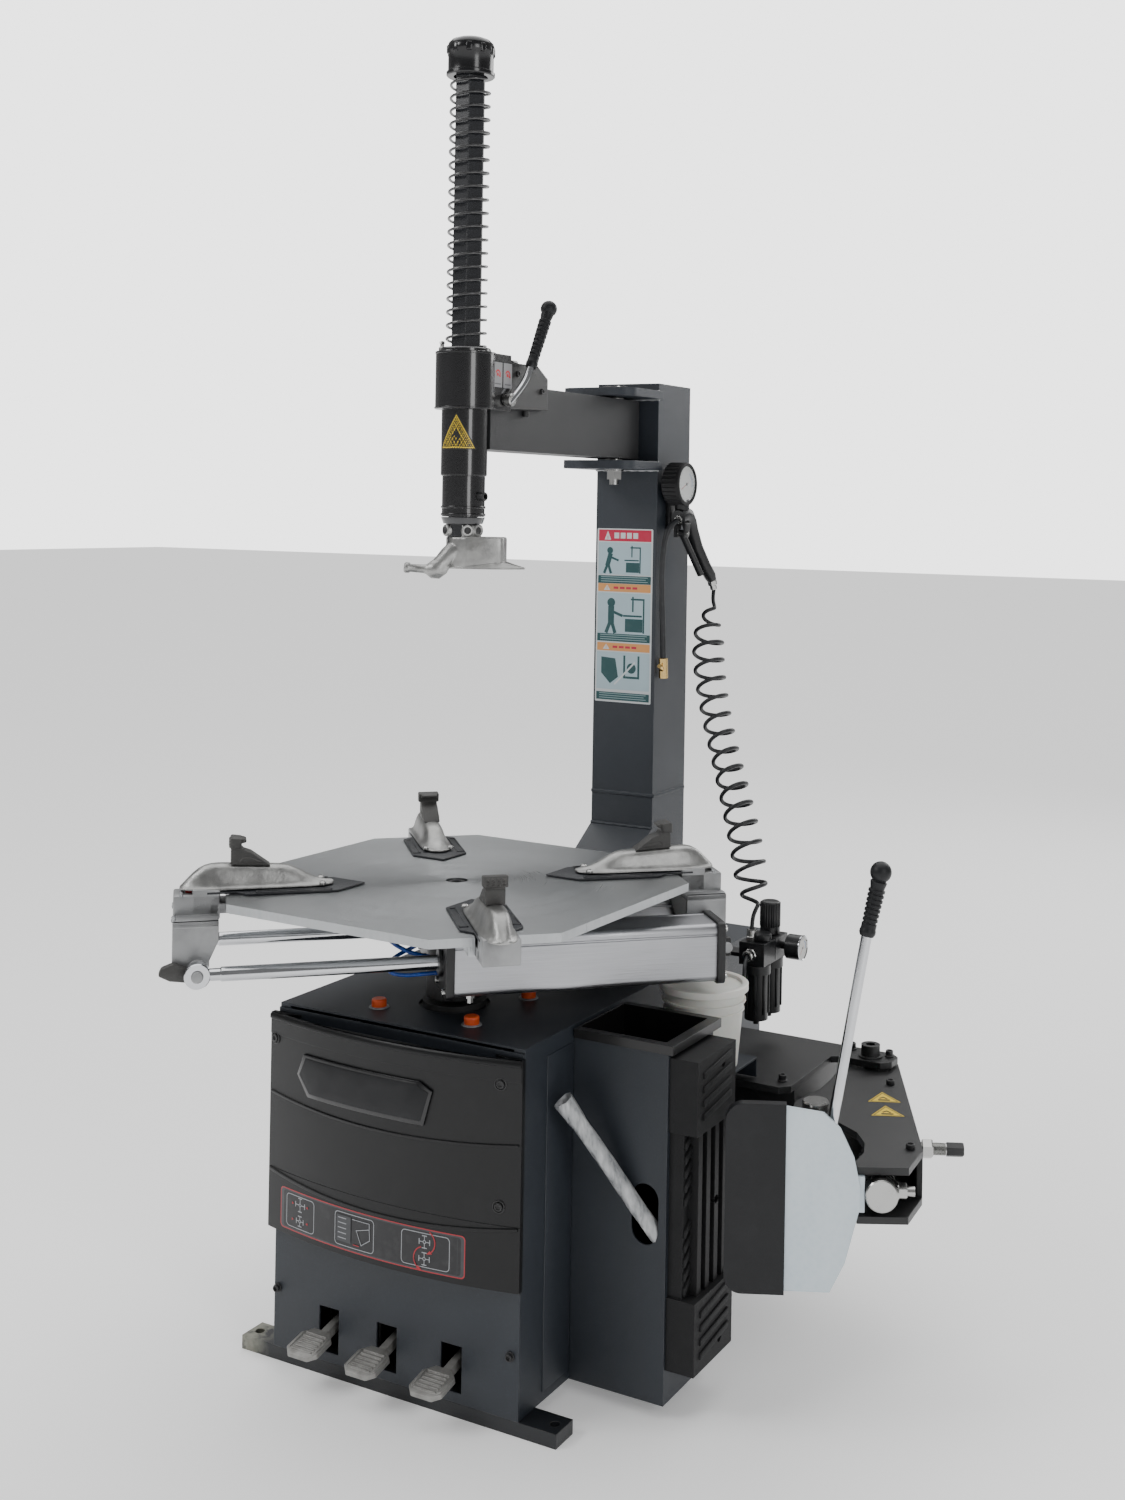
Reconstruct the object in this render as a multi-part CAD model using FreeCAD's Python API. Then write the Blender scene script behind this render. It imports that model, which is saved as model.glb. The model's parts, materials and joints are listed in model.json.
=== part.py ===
"""Swing-arm tyre changer, built as an assembly of separate sub-parts.

Units are millimetres.  The origin is on the floor, under the axis of the turntable.
+X is the operator's right, +Y points to the back of the machine and +Z is up.
"""
import FreeCAD, Part
import math
import os
from FreeCAD import Vector

# ---------------------------------------------------------------- driving dimensions
# cabinet
cabinet_left = -218.0
cabinet_right = 205.0
cabinet_front = -132.0
cabinet_back = 640.0
cabinet_top = 520.0
sheet = 3.0
# foot bars
foot_height = 20.0
foot_depth = 44.0
foot_overhang = 60.0
anchor_hole_radius = 7.0
anchor_inset = 15.0
# turntable
table_top = 700.0
table_thickness = 12.0
table_jaw_edge = 331.0
table_long_edge = 295.0
turn_angle = 43.4
jaw_travel = 100.0
# clamp cylinders under the turntable
cylinder_offset = 95.0
cylinder_width = 80.0
cylinder_height = 84.0
cylinder_axis_z = 607.0
clamp_rod_radius = 10.0
# column and swing arm
column_size = 120.0
column_left = -60.0
column_front = 498.0
column_top = 1468.0
column_wall = 5.0
arm_width = 64.0
arm_height = 100.0
arm_bottom = 1336.0
pivot_x = 0.0
pivot_y = 452.0
pivot_radius = 15.0
# vertical shaft
hex_flats = 41.0
shaft_top = 1900.0
shaft_stroke = 310.0
spring_bottom = 1483.0
spring_top = 1886.0
spring_radius = 28.5
spring_wire = 4.0
spring_turns = 20
# bead breaker
bead_pivot_x = 473.0
bead_pivot_y = 475.0
bead_arm_bottom = 296.0
bead_arm_top = 372.0
plate = 10.0
bead_rest_angle = 25.2
bead_pin_across = -96.0
bead_pin_along = 200.0
blade_bar_across = -18.0
blade_bar_z = 338.0
blade_bar_radius = 22.0
# clearances
gap = 0.5
fit = 0.05
pin_gap = 0.4

os.makedirs("parts", exist_ok=True)


# ---------------------------------------------------------------- shape helpers
def box(x0, x1, y0, y1, z0, z1):
    return Part.makeBox(x1 - x0, y1 - y0, z1 - z0, Vector(x0, y0, z0))


def rod(radius, start, end):
    a = Vector(*start)
    b = Vector(*end)
    return Part.makeCylinder(radius, (b - a).Length, a, b - a)


def tube(outer, inner, start, end):
    return rod(outer, start, end).cut(rod(inner, start, end))


def prism(points, depth, flat="z", at=0.0):
    """Extrude an outline of points drawn in the plane across the axis named flat."""
    place = {"z": lambda a, b: Vector(a, b, at),
             "y": lambda a, b: Vector(a, at, b),
             "x": lambda a, b: Vector(at, a, b)}[flat]
    way = {"z": Vector(0, 0, depth), "y": Vector(0, depth, 0), "x": Vector(depth, 0, 0)}[flat]
    corners = [place(a, b) for a, b in points]
    face = Part.Face(Part.makePolygon(corners + corners[:1]))
    return face.extrude(way)


def hexagon(flats, z0, z1, x=0.0, y=0.0, turn=0.0):
    radius = flats / math.sqrt(3)
    corners = [(x + radius * math.cos(math.radians(turn + 60 * k)),
                y + radius * math.sin(math.radians(turn + 60 * k))) for k in range(6)]
    return prism(corners, z1 - z0, "z", z0)


def spin(shape, angle, x=0.0, y=0.0):
    """Return a copy turned about the vertical line through (x, y)."""
    turned = shape.copy()
    turned.rotate(Vector(x, y, 0), Vector(0, 0, 1), angle)
    return turned


def fuse(*shapes):
    return shapes[0].fuse(list(shapes[1:])).removeSplitter()


def rounded(shape, radius, keep):
    """Fillet the edges that the test keep(edge) picks."""
    edges = [e for e in shape.Edges if keep(e)]
    return shape.makeFillet(radius, edges)


def upright(edge):
    a, b = edge.firstVertex().Point, edge.lastVertex().Point
    return abs(a.x - b.x) < 0.01 and abs(a.y - b.y) < 0.01 and abs(a.z - b.z) > 1


def save(name, *shapes):
    solids = [s for shape in shapes for s in shape.Solids]
    whole = solids[0] if len(solids) == 1 else Part.makeCompound(solids)
    whole.exportStep("parts/" + name + ".step")


def tangent_route(points, radius, name):
    """A tube along straight runs joined by tangent arcs."""
    pts = [Vector(*p) for p in points]
    edges = []
    last = pts[0]
    length = 0.0
    bends = []
    for before, here, after in zip(pts, pts[1:], pts[2:]):
        into = (here - before).normalize()
        out = (after - here).normalize()
        turn = into.getAngle(out)
        run = min((here - before).Length, (after - here).Length)
        back = 0.45 * run
        arc_radius = back / math.tan(turn / 2)
        bends.append(round(arc_radius))
        start = here - into * back
        end = here + out * back
        middle = (start + end) * 0.5
        centre_way = (middle - here).normalize()
        sag = arc_radius / math.cos(turn / 2) - arc_radius
        edges.append(Part.LineSegment(last, start).toShape())
        edges.append(Part.Arc(start, here + centre_way * sag, end).toShape())
        length += (start - last).Length + arc_radius * turn
        last = end
    edges.append(Part.LineSegment(last, pts[-1]).toShape())
    length += (pts[-1] - last).Length
    path = Part.Wire(edges)
    first = (pts[1] - pts[0]).normalize()
    ring = Part.Wire(Part.makeCircle(radius, pts[0], first))
    solid = path.makePipeShell([ring], True, False)
    print(name, "radii", bends, "length", round(length),
          "volume ratio", round(solid.Volume / (math.pi * radius ** 2 * length), 3))
    return solid


# ---------------------------------------------------------------- cabinet
cabinet_bottom = foot_height
slot_centres = (-117.0, -15.0, 95.0)
slot_width = 35.0
slot_top = 98.0
slot_bottom = 34.0
neck_hole_radius = 52.0
rod_window = (212.0, 296.0, 296.0, 372.0)
bucket_x = 300.0
bucket_y = 222.0
bucket_base_radius = 52.0
shelf_z = 418.0
housing_back = 140.0

shell = box(cabinet_left, cabinet_right, cabinet_front + sheet, cabinet_back, cabinet_bottom, cabinet_top)
shell = shell.cut(box(cabinet_left + sheet, cabinet_right - sheet, cabinet_front, cabinet_back - sheet,
                      cabinet_bottom - 1, cabinet_top - sheet))
shell = shell.cut(rod(neck_hole_radius, (0, 0, cabinet_top - 10), (0, 0, cabinet_top + 10)))
shell = shell.cut(box(cabinet_right - 10, cabinet_right + 10, *rod_window))
flange_width = 15.0
for side_x in (cabinet_left + sheet, cabinet_right - sheet - flange_width):
    shell = shell.fuse(box(side_x, side_x + flange_width, cabinet_front + sheet, cabinet_front + 2 * sheet,
                           cabinet_bottom, cabinet_top - sheet))
shelf_right = bucket_x + bucket_base_radius + 6
shelf_front = housing_back + 10.0
shelf_back = bucket_y + bucket_base_radius + 18
shelf = box(cabinet_right, shelf_right, shelf_front, shelf_back, shelf_z - sheet, shelf_z)
shelf = shelf.fuse(box(cabinet_right, shelf_right, shelf_back - sheet, shelf_back, shelf_z - 30, shelf_z))
save("cabinet_shell", shell.fuse(shelf).removeSplitter())

front = box(cabinet_left, cabinet_right, cabinet_front, cabinet_front + sheet, cabinet_bottom,
            cabinet_top - 6)
for centre in slot_centres:
    front = front.cut(box(centre - slot_width / 2, centre + slot_width / 2, cabinet_front - 5,
                          cabinet_front + 10, slot_bottom, slot_top))
save("front_plate", front)

foot_left = cabinet_left - foot_overhang
foot_right = cabinet_right + foot_overhang
foot_fronts = (cabinet_front, cabinet_back - foot_depth)
bars = []
for foot_front in foot_fronts:
    bar = box(foot_left, foot_right, foot_front, foot_front + foot_depth, 0, foot_height)
    hollow = box(foot_left + 4, foot_right - 4, foot_front + 4, foot_front + foot_depth - 4, -1,
                 foot_height - 5)
    bar = bar.cut(hollow)
    for x in (foot_left + anchor_inset, foot_right - anchor_inset):
        y = foot_front + foot_depth / 2
        bar = bar.fuse(box(x - 13, x + 13, foot_front + 4, foot_front + foot_depth - 4, 0, foot_height - 5))
        bar = bar.cut(rod(anchor_hole_radius, (x, y, -1), (x, y, foot_height + 1)))
    bars.append(bar.removeSplitter())
save("foot_bars", *bars)

cap_x = 81.0
cap_y = 75.0
caps = []
for x, y in ((cap_x, cap_y), (cap_x, -cap_y), (-cap_x, cap_y), (-cap_x, -cap_y)):
    cap = rod(11, (x, y, cabinet_top), (x, y, cabinet_top + 13))
    cap = rounded(cap, 3, lambda e: e.CenterOfMass.z > cabinet_top + 12.9 and len(e.Vertexes) == 1)
    caps.append(cap)
save("plug_caps", *caps)

# ---------------------------------------------------------------- front fascia
bulge = 34.0
fascia_wall = 5.0
fascia_left = cabinet_left - 8
fascia_right = cabinet_right + 3
fascia_middle = (fascia_left + fascia_right) / 2


def fascia_outline(inset, z):
    """Closed outline of the bowed cover: an arc in front and a straight back."""
    left = fascia_left + inset
    right = fascia_right - inset
    back = cabinet_front
    shoulder = back - 8 + inset
    nose = back - bulge + inset
    corner = [Vector(left, back, z), Vector(left, shoulder, z), Vector(fascia_middle, nose, z),
              Vector(right, shoulder, z), Vector(right, back, z)]
    edges = [Part.LineSegment(corner[0], corner[1]).toShape(),
             Part.Arc(corner[1], corner[2], corner[3]).toShape(),
             Part.LineSegment(corner[3], corner[4]).toShape(),
             Part.LineSegment(corner[4], corner[0]).toShape()]
    return Part.Face(Part.Wire(edges))


def fascia(z0, z1):
    outer = fascia_outline(0, z0).extrude(Vector(0, 0, z1 - z0))
    inner = fascia_outline(fascia_wall, z0 + fascia_wall).extrude(Vector(0, 0, z1 - z0 - 2 * fascia_wall))
    return outer.cut(inner)


fascia_split = 284.0
fascia_top = 508.0
upper = fascia(fascia_split + gap, fascia_top)
shelf_cut = rod(520, (fascia_middle, cabinet_front - 492, fascia_top - 26),
                (fascia_middle, cabinet_front - 492, fascia_top + 10))
save("fascia_upper", upper.cut(shelf_cut.cut(box(-900, 900, -900, cabinet_front - bulge + 11, 400, 600))
                               .common(box(fascia_left + 22, fascia_right - 22, -400, 0, 400, 600))))
save("fascia_lower", fascia(fascia_split - 88, fascia_split))

# ---------------------------------------------------------------- right side: housing, guard, tray
housing_front = 0.0
housing_right = 356.0
housing_top = 503.0
housing = box(cabinet_right, housing_right, housing_front, housing_back, cabinet_bottom, housing_top)
housing = housing.cut(box(cabinet_right + sheet, housing_right - sheet, housing_front + sheet,
                          housing_back - sheet, cabinet_bottom + sheet, housing_top + 1))
slot_x = 323.0
slot_low = 256.0
slot_high = 298.0
slot_radius = 21.0
lever_slot = rod(slot_radius, (slot_x, -5, slot_low), (slot_x, 10, slot_low))
lever_slot = lever_slot.fuse(rod(slot_radius, (slot_x, -5, slot_high), (slot_x, 10, slot_high)))
lever_slot = lever_slot.fuse(box(slot_x - slot_radius, slot_x + slot_radius, -5, 10, slot_low, slot_high))
save("side_housing", housing.cut(lever_slot))

guard_front = 4.0
guard_back = 124.0
guard_low = 68.0
guard_high = 497.0
guard_base = 22.0
guard_full = 44.0
guard = box(housing_right, housing_right + guard_base, guard_front + 4, guard_back, guard_low, guard_high)
pads = ((guard_high - 102, guard_high), (guard_low, guard_low + 100))
for low, high in pads:
    guard = guard.fuse(box(housing_right, housing_right + guard_full, guard_front, guard_back, low, high))
rib_count = 4
for k in range(rib_count):
    y = guard_front + 22 + k * 26
    guard = guard.fuse(box(housing_right, housing_right + guard_full - 8, y, y + 12,
                           guard_low + 90, guard_high - 90))
for z in (guard_high - 22, (guard_low + guard_high) / 2, guard_low + 22):
    guard = guard.cut(rod(6, (housing_right + 8, guard_back - 40, z),
                          (housing_right + 60, guard_back - 40, z)))
save("side_guard", guard.removeSplitter())

rim_overlap = 10.0
tray_depth = 62.0
tray_wall = 2.5
rim_height = 13.0
tray_top = housing_top + gap + rim_height
rim = box(cabinet_right + 3, housing_right + rim_overlap, housing_front - 6, housing_back + 6,
          housing_top + gap, tray_top)
tray_x = (cabinet_right + sheet + 1, housing_right - sheet - 1)
tray_y = (housing_front + sheet + 1, housing_back - sheet - 1)
tray = rim.fuse(box(*tray_x, *tray_y, tray_top - tray_depth, tray_top))
tray = tray.cut(box(tray_x[0] + tray_wall, tray_x[1] - tray_wall, tray_y[0] + tray_wall,
                    tray_y[1] - tray_wall, tray_top - tray_depth + tray_wall, tray_top + 1))
save("tool_tray", tray.removeSplitter())

# lever bar held in the slot of the housing
lever_top = Vector(slot_x - 97, housing_front - 62, slot_high + 138)
lever_through = Vector(slot_x - 1, housing_front + 1.5, slot_high - 26)
lever_way = (lever_through - lever_top).normalize()
lever_foot = lever_through + lever_way * 37
bar_radius = 9.0
save("pry_bar", Part.makeCylinder(bar_radius, (lever_foot - lever_top).Length, lever_top, lever_way))

# grease bucket on its shelf
bucket_top_radius = 62.0
bucket_height = 116.0
bucket_wall = 2.0
bucket_z = shelf_z + gap
bucket = Part.makeCone(bucket_base_radius, bucket_top_radius, bucket_height,
                       Vector(bucket_x, bucket_y, bucket_z))
bucket = bucket.cut(Part.makeCone(bucket_base_radius - bucket_wall, bucket_top_radius - bucket_wall,
                                  bucket_height, Vector(bucket_x, bucket_y, bucket_z + bucket_wall)))
lid_z = bucket_z + bucket_height
lid = rod(bucket_top_radius + 5, (bucket_x, bucket_y, lid_z), (bucket_x, bucket_y, lid_z + 8))
save("bucket", bucket, lid)

# ---------------------------------------------------------------- pedals
pedal_pivot_y = -62.0
pedal_pivot_z = 78.0
pedal_pin_radius = 7.0
pedal_names = ("pedal_left", "pedal_middle", "pedal_right")
pedal_boss = 12.0
for name, centre in zip(pedal_names, slot_centres):
    boss = tube(pedal_boss, pedal_pin_radius + pin_gap, (centre - 9, pedal_pivot_y, pedal_pivot_z),
                (centre + 9, pedal_pivot_y, pedal_pivot_z))
    lever = prism([(pedal_pivot_y - 9, 86), (pedal_pivot_y - 9, 70), (-150, 52), (-160, 52), (-160, 64),
                   (-140, 70)], 12, "x", centre - 6)
    pad = prism([(-196, 50), (-140, 62), (-140, 72), (-196, 60)], 54, "x", centre - 31)
    save(name, fuse(boss, lever, pad))

bracket_x = (slot_centres[0] - 40, slot_centres[2] + 40)
plate_back = cabinet_front + sheet
pedal_frame = box(*bracket_x, plate_back, pedal_pivot_y + 90, cabinet_bottom + 6, cabinet_bottom + 10)
pedal_frame = pedal_frame.fuse(box(*bracket_x, plate_back, plate_back + 4, cabinet_bottom + 2,
                                   slot_bottom - 1))
for x in (bracket_x[0], (slot_centres[0] + slot_centres[1]) / 2, (slot_centres[1] + slot_centres[2]) / 2,
          bracket_x[1] - 4):
    pedal_frame = pedal_frame.fuse(box(x, x + 4, pedal_pivot_y - 20, pedal_pivot_y + 30,
                                       cabinet_bottom + 6, 100))
pedal_frame = pedal_frame.fuse(rod(pedal_pin_radius, (bracket_x[0], pedal_pivot_y, pedal_pivot_z),
                                   (bracket_x[1], pedal_pivot_y, pedal_pivot_z)))
for centre in slot_centres:
    pedal_frame = pedal_frame.fuse(box(centre - 16, centre + 16, pedal_pivot_y + 44, pedal_pivot_y + 84,
                                       cabinet_bottom + 10, 92))
feet = [box(*bracket_x, y, y + 4, cabinet_bottom + 6, cabinet_bottom + 30)
        for y in (pedal_pivot_y + 86,)]
save("pedal_bracket", fuse(pedal_frame, *feet))

# ---------------------------------------------------------------- drive: motor, belt, worm gearbox
gearbox_flange = 10.0
gearbox_bottom = 396.0
gearbox_half = 92.0
neck_radius = 47.0
neck_top = 527.0
worm_y = 55.0
worm_z = 440.0
motor_y = 30.0
motor_z = 170.0
motor_radius = 70.0
pulley_x = (-178.0, -156.0)
worm_pulley_radius = 62.0
motor_pulley_radius = 30.0
spindle_radius = 16.0
flange_top = cabinet_top - sheet
gearbox = box(-gearbox_half, gearbox_half, -gearbox_half, gearbox_half, flange_top - gearbox_flange,
              flange_top)
gearbox = gearbox.fuse(rod(80, (0, 0, gearbox_bottom), (0, 0, flange_top - gearbox_flange)))
gearbox = gearbox.fuse(rod(34, (-100, worm_y, worm_z), (90, worm_y, worm_z)))
gearbox = gearbox.fuse(rod(neck_radius, (0, 0, flange_top), (0, 0, neck_top)))
gearbox = gearbox.fuse(rod(spindle_radius - 4, (pulley_x[0] - 4, worm_y, worm_z), (-100, worm_y, worm_z)))
gearbox = gearbox.cut(rod(spindle_radius + pin_gap, (0, 0, gearbox_bottom + 20), (0, 0, neck_top + 1)))
save("gearbox", gearbox.removeSplitter())

motor = rod(motor_radius, (-130, motor_y, motor_z), (90, motor_y, motor_z))
motor = motor.fuse(rod(9, (pulley_x[0] - 4, motor_y, motor_z), (-130, motor_y, motor_z)))
motor = motor.fuse(box(-100, 60, motor_y + 40, motor_y + 84, motor_z - 60, motor_z + 60))
motor = motor.fuse(box(-115, 75, motor_y + 84, motor_y + 90, motor_z - 75, motor_z + 75))
motor_mount = box(cabinet_left + sheet, 75, motor_y + 90, motor_y + 96, motor_z - 60, motor_z - 20)
save("motor", fuse(motor, motor_mount))


def pulley(radius, bore, y, z):
    wheel = tube(radius, bore, (pulley_x[0], y, z), (pulley_x[1], y, z))
    mid = (pulley_x[0] + pulley_x[1]) / 2
    return wheel.cut(tube(radius + 5, radius - 7, (mid - 6, y, z), (mid + 6, y, z)))


save("gearbox_pulley", pulley(worm_pulley_radius, spindle_radius - 4 + pin_gap, worm_y, worm_z))
save("motor_pulley", pulley(motor_pulley_radius, 9 + pin_gap, motor_y, motor_z))


def belt_loop(extra, x0, x1):
    """The convex hull of two discs, as a solid between x0 and x1."""
    r1 = worm_pulley_radius - 7 + extra
    r2 = motor_pulley_radius - 7 + extra
    dy = worm_y - motor_y
    dz = worm_z - motor_z
    span = math.hypot(dy, dz)
    tilt = math.atan2(dz, dy)
    lean = math.acos((r2 - r1) / span)
    sides = []
    for sign in (1, -1):
        a = tilt + sign * lean
        sides.append([(motor_y + r2 * math.cos(a), motor_z + r2 * math.sin(a)),
                      (worm_y + r1 * math.cos(a), worm_z + r1 * math.sin(a))])
    quad = [sides[0][0], sides[0][1], sides[1][1], sides[1][0]]
    body = prism(quad, x1 - x0, "x", x0)
    body = body.fuse(rod(r1, (x0, worm_y, worm_z), (x1, worm_y, worm_z)))
    return body.fuse(rod(r2, (x0, motor_y, motor_z), (x1, motor_y, motor_z)))


belt_mid = (pulley_x[0] + pulley_x[1]) / 2
belt = belt_loop(8, belt_mid - 5.4, belt_mid + 5.4).cut(belt_loop(gap, belt_mid - 9, belt_mid + 9))
save("drive_belt", belt)

# ---------------------------------------------------------------- turntable (drawn with jaws on X and Y)
table_low = table_top - table_thickness
half_short = table_long_edge * math.sqrt(2) - table_jaw_edge
centre_hole = 16.0
hub_hole = 10.0
jaw_slot_half = 27.0


def octagon(jaw_edge, half):
    corners = []
    for k in range(4):
        for across in (-half, half):
            a = math.radians(90 * k)
            corners.append((jaw_edge * math.cos(a) - across * math.sin(a),
                            jaw_edge * math.sin(a) + across * math.cos(a)))
    return corners


def turned(shape):
    return spin(shape, turn_angle)


slide_width = 50.0
slide_top = table_low - gap
slide_bottom = slide_top - 14.5
rail_gap = 0.5
rail_width = 9.0
top = prism(octagon(table_jaw_edge, half_short), table_thickness, "z", table_low)
top = top.cut(rod(centre_hole, (0, 0, table_low - 1), (0, 0, table_top + 1)))
neck_in = table_jaw_edge + 7
slot_in = neck_in - jaw_travel - 3
for k in range(4):
    slot = box(slot_in, table_jaw_edge + 5, -jaw_slot_half, jaw_slot_half, table_low - 1, table_top + 1)
    top = top.cut(spin(slot, 90 * k))
    for side in (-1, 1):
        inner = side * (slide_width / 2 + rail_gap)
        outer = side * (slide_width / 2 + rail_gap + rail_width)
        rail = box(120, table_jaw_edge - 6, min(inner, outer), max(inner, outer),
                   slide_bottom + 1, table_low)
        top = top.fuse(spin(rail, 90 * k))
save("turntable_plate", turned(top.removeSplitter()))

hub_radius = 42.0
hub_low = neck_top + 6
link_top = slide_bottom - 1.0
link_low = link_top - 7.0
sync_top = link_low - 0.8
sync_low = sync_top - 7.5
hub = rod(hub_radius, (0, 0, hub_low), (0, 0, table_low))
hub = hub.cut(rod(hub_hole, (0, 0, hub_low + 40), (0, 0, table_low + 1)))
hub = hub.fuse(rod(spindle_radius, (0, 0, gearbox_bottom + 24), (0, 0, hub_low)))
save("turntable_hub", turned(hub.removeSplitter()))

# jaw drive: a plate that turns on the hub, and a link from it to each jaw
sync_pin_radius = 85.0
link_length = 150.0
jaw_pin_open = 225.0
open_angle = math.degrees(math.acos((jaw_pin_open ** 2 + sync_pin_radius ** 2 - link_length ** 2)
                                    / (2 * jaw_pin_open * sync_pin_radius)))
sync = rod(sync_pin_radius + 4, (0, 0, sync_low), (0, 0, sync_top))
for k in range(4):
    a = math.radians(90 * k + open_angle)
    px, py = sync_pin_radius * math.cos(a), sync_pin_radius * math.sin(a)
    sync = sync.fuse(rod(14, (px, py, sync_low), (px, py, sync_top)))
sync = sync.cut(rod(hub_radius + pin_gap, (0, 0, sync_low - 1), (0, 0, sync_top + 1)))
save("sync_plate", turned(sync.removeSplitter()))

jaw_names = ("right", "back", "left", "front")
link_eye = 11.0
link_bore = 6.5
for k, name in enumerate(jaw_names):
    a = math.radians(open_angle)
    px, py = sync_pin_radius * math.cos(a), sync_pin_radius * math.sin(a)
    jx, jy = jaw_pin_open, 0.0
    nx, ny = -(jy - py) / link_length, (jx - px) / link_length
    half = 8.0
    bar = prism([(px + nx * half, py + ny * half), (jx + nx * half, jy + ny * half),
                 (jx - nx * half, jy - ny * half), (px - nx * half, py - ny * half)],
                link_top - link_low, "z", link_low)
    bar = bar.fuse(rod(link_eye, (px, py, link_low), (px, py, link_top)))
    bar = bar.fuse(rod(link_eye, (jx, jy, link_low), (jx, jy, link_top)))
    for x, y in ((px, py), (jx, jy)):
        bar = bar.cut(rod(link_bore, (x, y, link_low - 1), (x, y, link_top + 1)))
    save("sync_link_" + name, turned(spin(bar.removeSplitter(), 90 * k)))

# jaws: slide, slotted carrier plate, cast cover and claw, drawn pointing along +X
slide_in = 200.0
slide_out = 352.0
wrap_out = 396.0
carrier_tip = 134.0
carrier_in = 176.0
carrier_out = 300.0
carrier_half = 42.0
carrier_height = 3.0
cover_half = 26.0
cover_in = 178.0
cover_out = 394.0
claw_half = 13.0
claw_in = 269.0
claw_out = 324.0
rod_eye_radius = 17.0
rod_pin_x = 368.0
rear_pin_x = 386.0


cross_top = slide_bottom - gap
cross_low = cross_top - 8


def jaw(cheek_offset, pin_at):
    slide = box(slide_in, slide_out, -slide_width / 2, slide_width / 2, slide_bottom, slide_top)
    slide = slide.fuse(rod(link_bore - pin_gap, (jaw_pin_open, 0, link_low),
                           (jaw_pin_open, 0, slide_bottom)))
    step = table_top + gap
    wrap = box(neck_in, wrap_out - 20, -slide_width / 2, slide_width / 2, slide_bottom, step + 8)
    carrier = prism([(carrier_tip, 0), (carrier_in, carrier_half), (carrier_out, carrier_half),
                     (carrier_out + 16, cover_half), (wrap_out - 20, cover_half),
                     (wrap_out - 20, -cover_half), (carrier_out + 16, -cover_half),
                     (carrier_out, -carrier_half), (carrier_in, -carrier_half)], carrier_height, "z", step)
    pieces = [slide, wrap, carrier]
    if cheek_offset:
        cheek = prism([(340, cross_top), (wrap_out + 6, cross_top), (wrap_out + 6, 606), (386, 590),
                       (352, 590), (352, 622), (340, 650)], 8, "y", 0)
        for side in (-1, 1):
            piece = cheek.copy()
            piece.translate(Vector(0, side * cheek_offset - 4, 0))
            pieces.append(piece)
        reach = cheek_offset + 4
        pieces.append(box(340, wrap_out + 6, -reach, reach, cross_low, cross_top))
        pieces.append(box(neck_in, wrap_out + 6, -slide_width / 2, slide_width / 2, cross_low, table_top))
        pieces.append(rod(8, (pin_at, -cylinder_offset - 14, cylinder_axis_z),
                          (pin_at, cylinder_offset + 14, cylinder_axis_z)))
    body = fuse(*pieces)
    base = step + carrier_height
    cover = prism([(cover_in, base), (cover_in + 26, base + 8), (cover_in + 62, base + 30),
                   (cover_out - 30, base + 38), (cover_out, base + 6), (cover_out, base)], 2 * cover_half,
                  "y", -cover_half)
    claw = prism([(claw_in, base + 32.2), (claw_out, base + 35.8), (claw_out, base + 72),
                  (claw_out - 22, base + 69.5), (claw_out - 26, base + 52.5)], 2 * claw_half, "y", -claw_half)
    return body, cover, claw


for k, name in enumerate(jaw_names):
    shapes = jaw({"left": 62, "right": 46}.get(name, 0), {"right": rear_pin_x}.get(name, rod_pin_x))
    save("jaw_" + name, *[turned(spin(shape, 90 * k)) for shape in shapes])

# clamp cylinders, fixed to the right jaw; their rods pull the left jaw
body_in = -22.0
body_out = 362.0
cap = 12.0
bore = 34.0
cylinders = []
rods = []
for side in (-1, 1):
    y = side * cylinder_offset
    hw, hh = cylinder_width / 2, cylinder_height / 2
    barrel = box(body_in, body_out, y - hw, y + hw, cylinder_axis_z - hh, cylinder_axis_z + hh)
    barrel = rounded(barrel, 9, lambda e: abs(e.firstVertex().Point.x - e.lastVertex().Point.x) > 10)
    barrel = barrel.cut(rod(bore, (body_in - 1, y, cylinder_axis_z), (body_out + 1, y, cylinder_axis_z)))
    cylinders.append(barrel)
    rear = box(body_out, body_out + cap, y - hw - 3, y + hw + 3, cylinder_axis_z - hh - 3,
               cylinder_axis_z + hh + 3)
    rear_eye = box(body_out + cap, rear_pin_x + 13, y - 9, y + 9, cylinder_axis_z - 14, cylinder_axis_z + 14)
    rear_eye = rear_eye.cut(rod(8 + fit, (rear_pin_x, y - 20, cylinder_axis_z),
                                (rear_pin_x, y + 20, cylinder_axis_z)))
    front_cap = box(body_in - cap, body_in, y - hw - 3, y + hw + 3, cylinder_axis_z - hh - 3,
                    cylinder_axis_z + hh + 3)
    front_cap = front_cap.cut(rod(clamp_rod_radius + pin_gap, (body_in - 20, y, cylinder_axis_z),
                                  (body_in + 5, y, cylinder_axis_z)))
    cylinders += [rear, front_cap]
    piston = rod(bore - pin_gap, (body_in + 4, y, cylinder_axis_z), (body_in + 22, y, cylinder_axis_z))
    shaft = rod(clamp_rod_radius, (-rod_pin_x + 10, y, cylinder_axis_z), (body_in + 4, y, cylinder_axis_z))
    eye = tube(rod_eye_radius, 8 + fit, (-rod_pin_x, y - 9, cylinder_axis_z),
               (-rod_pin_x, y + 9, cylinder_axis_z))
    rods.append(fuse(piston, shaft.cut(rod(rod_eye_radius - 2, (-rod_pin_x, y - 12, cylinder_axis_z),
                                           (-rod_pin_x, y + 12, cylinder_axis_z))), eye))
save("clamp_cylinders", *[turned(s) for s in cylinders])
save("clamp_rods", *[turned(s) for s in rods])

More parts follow.
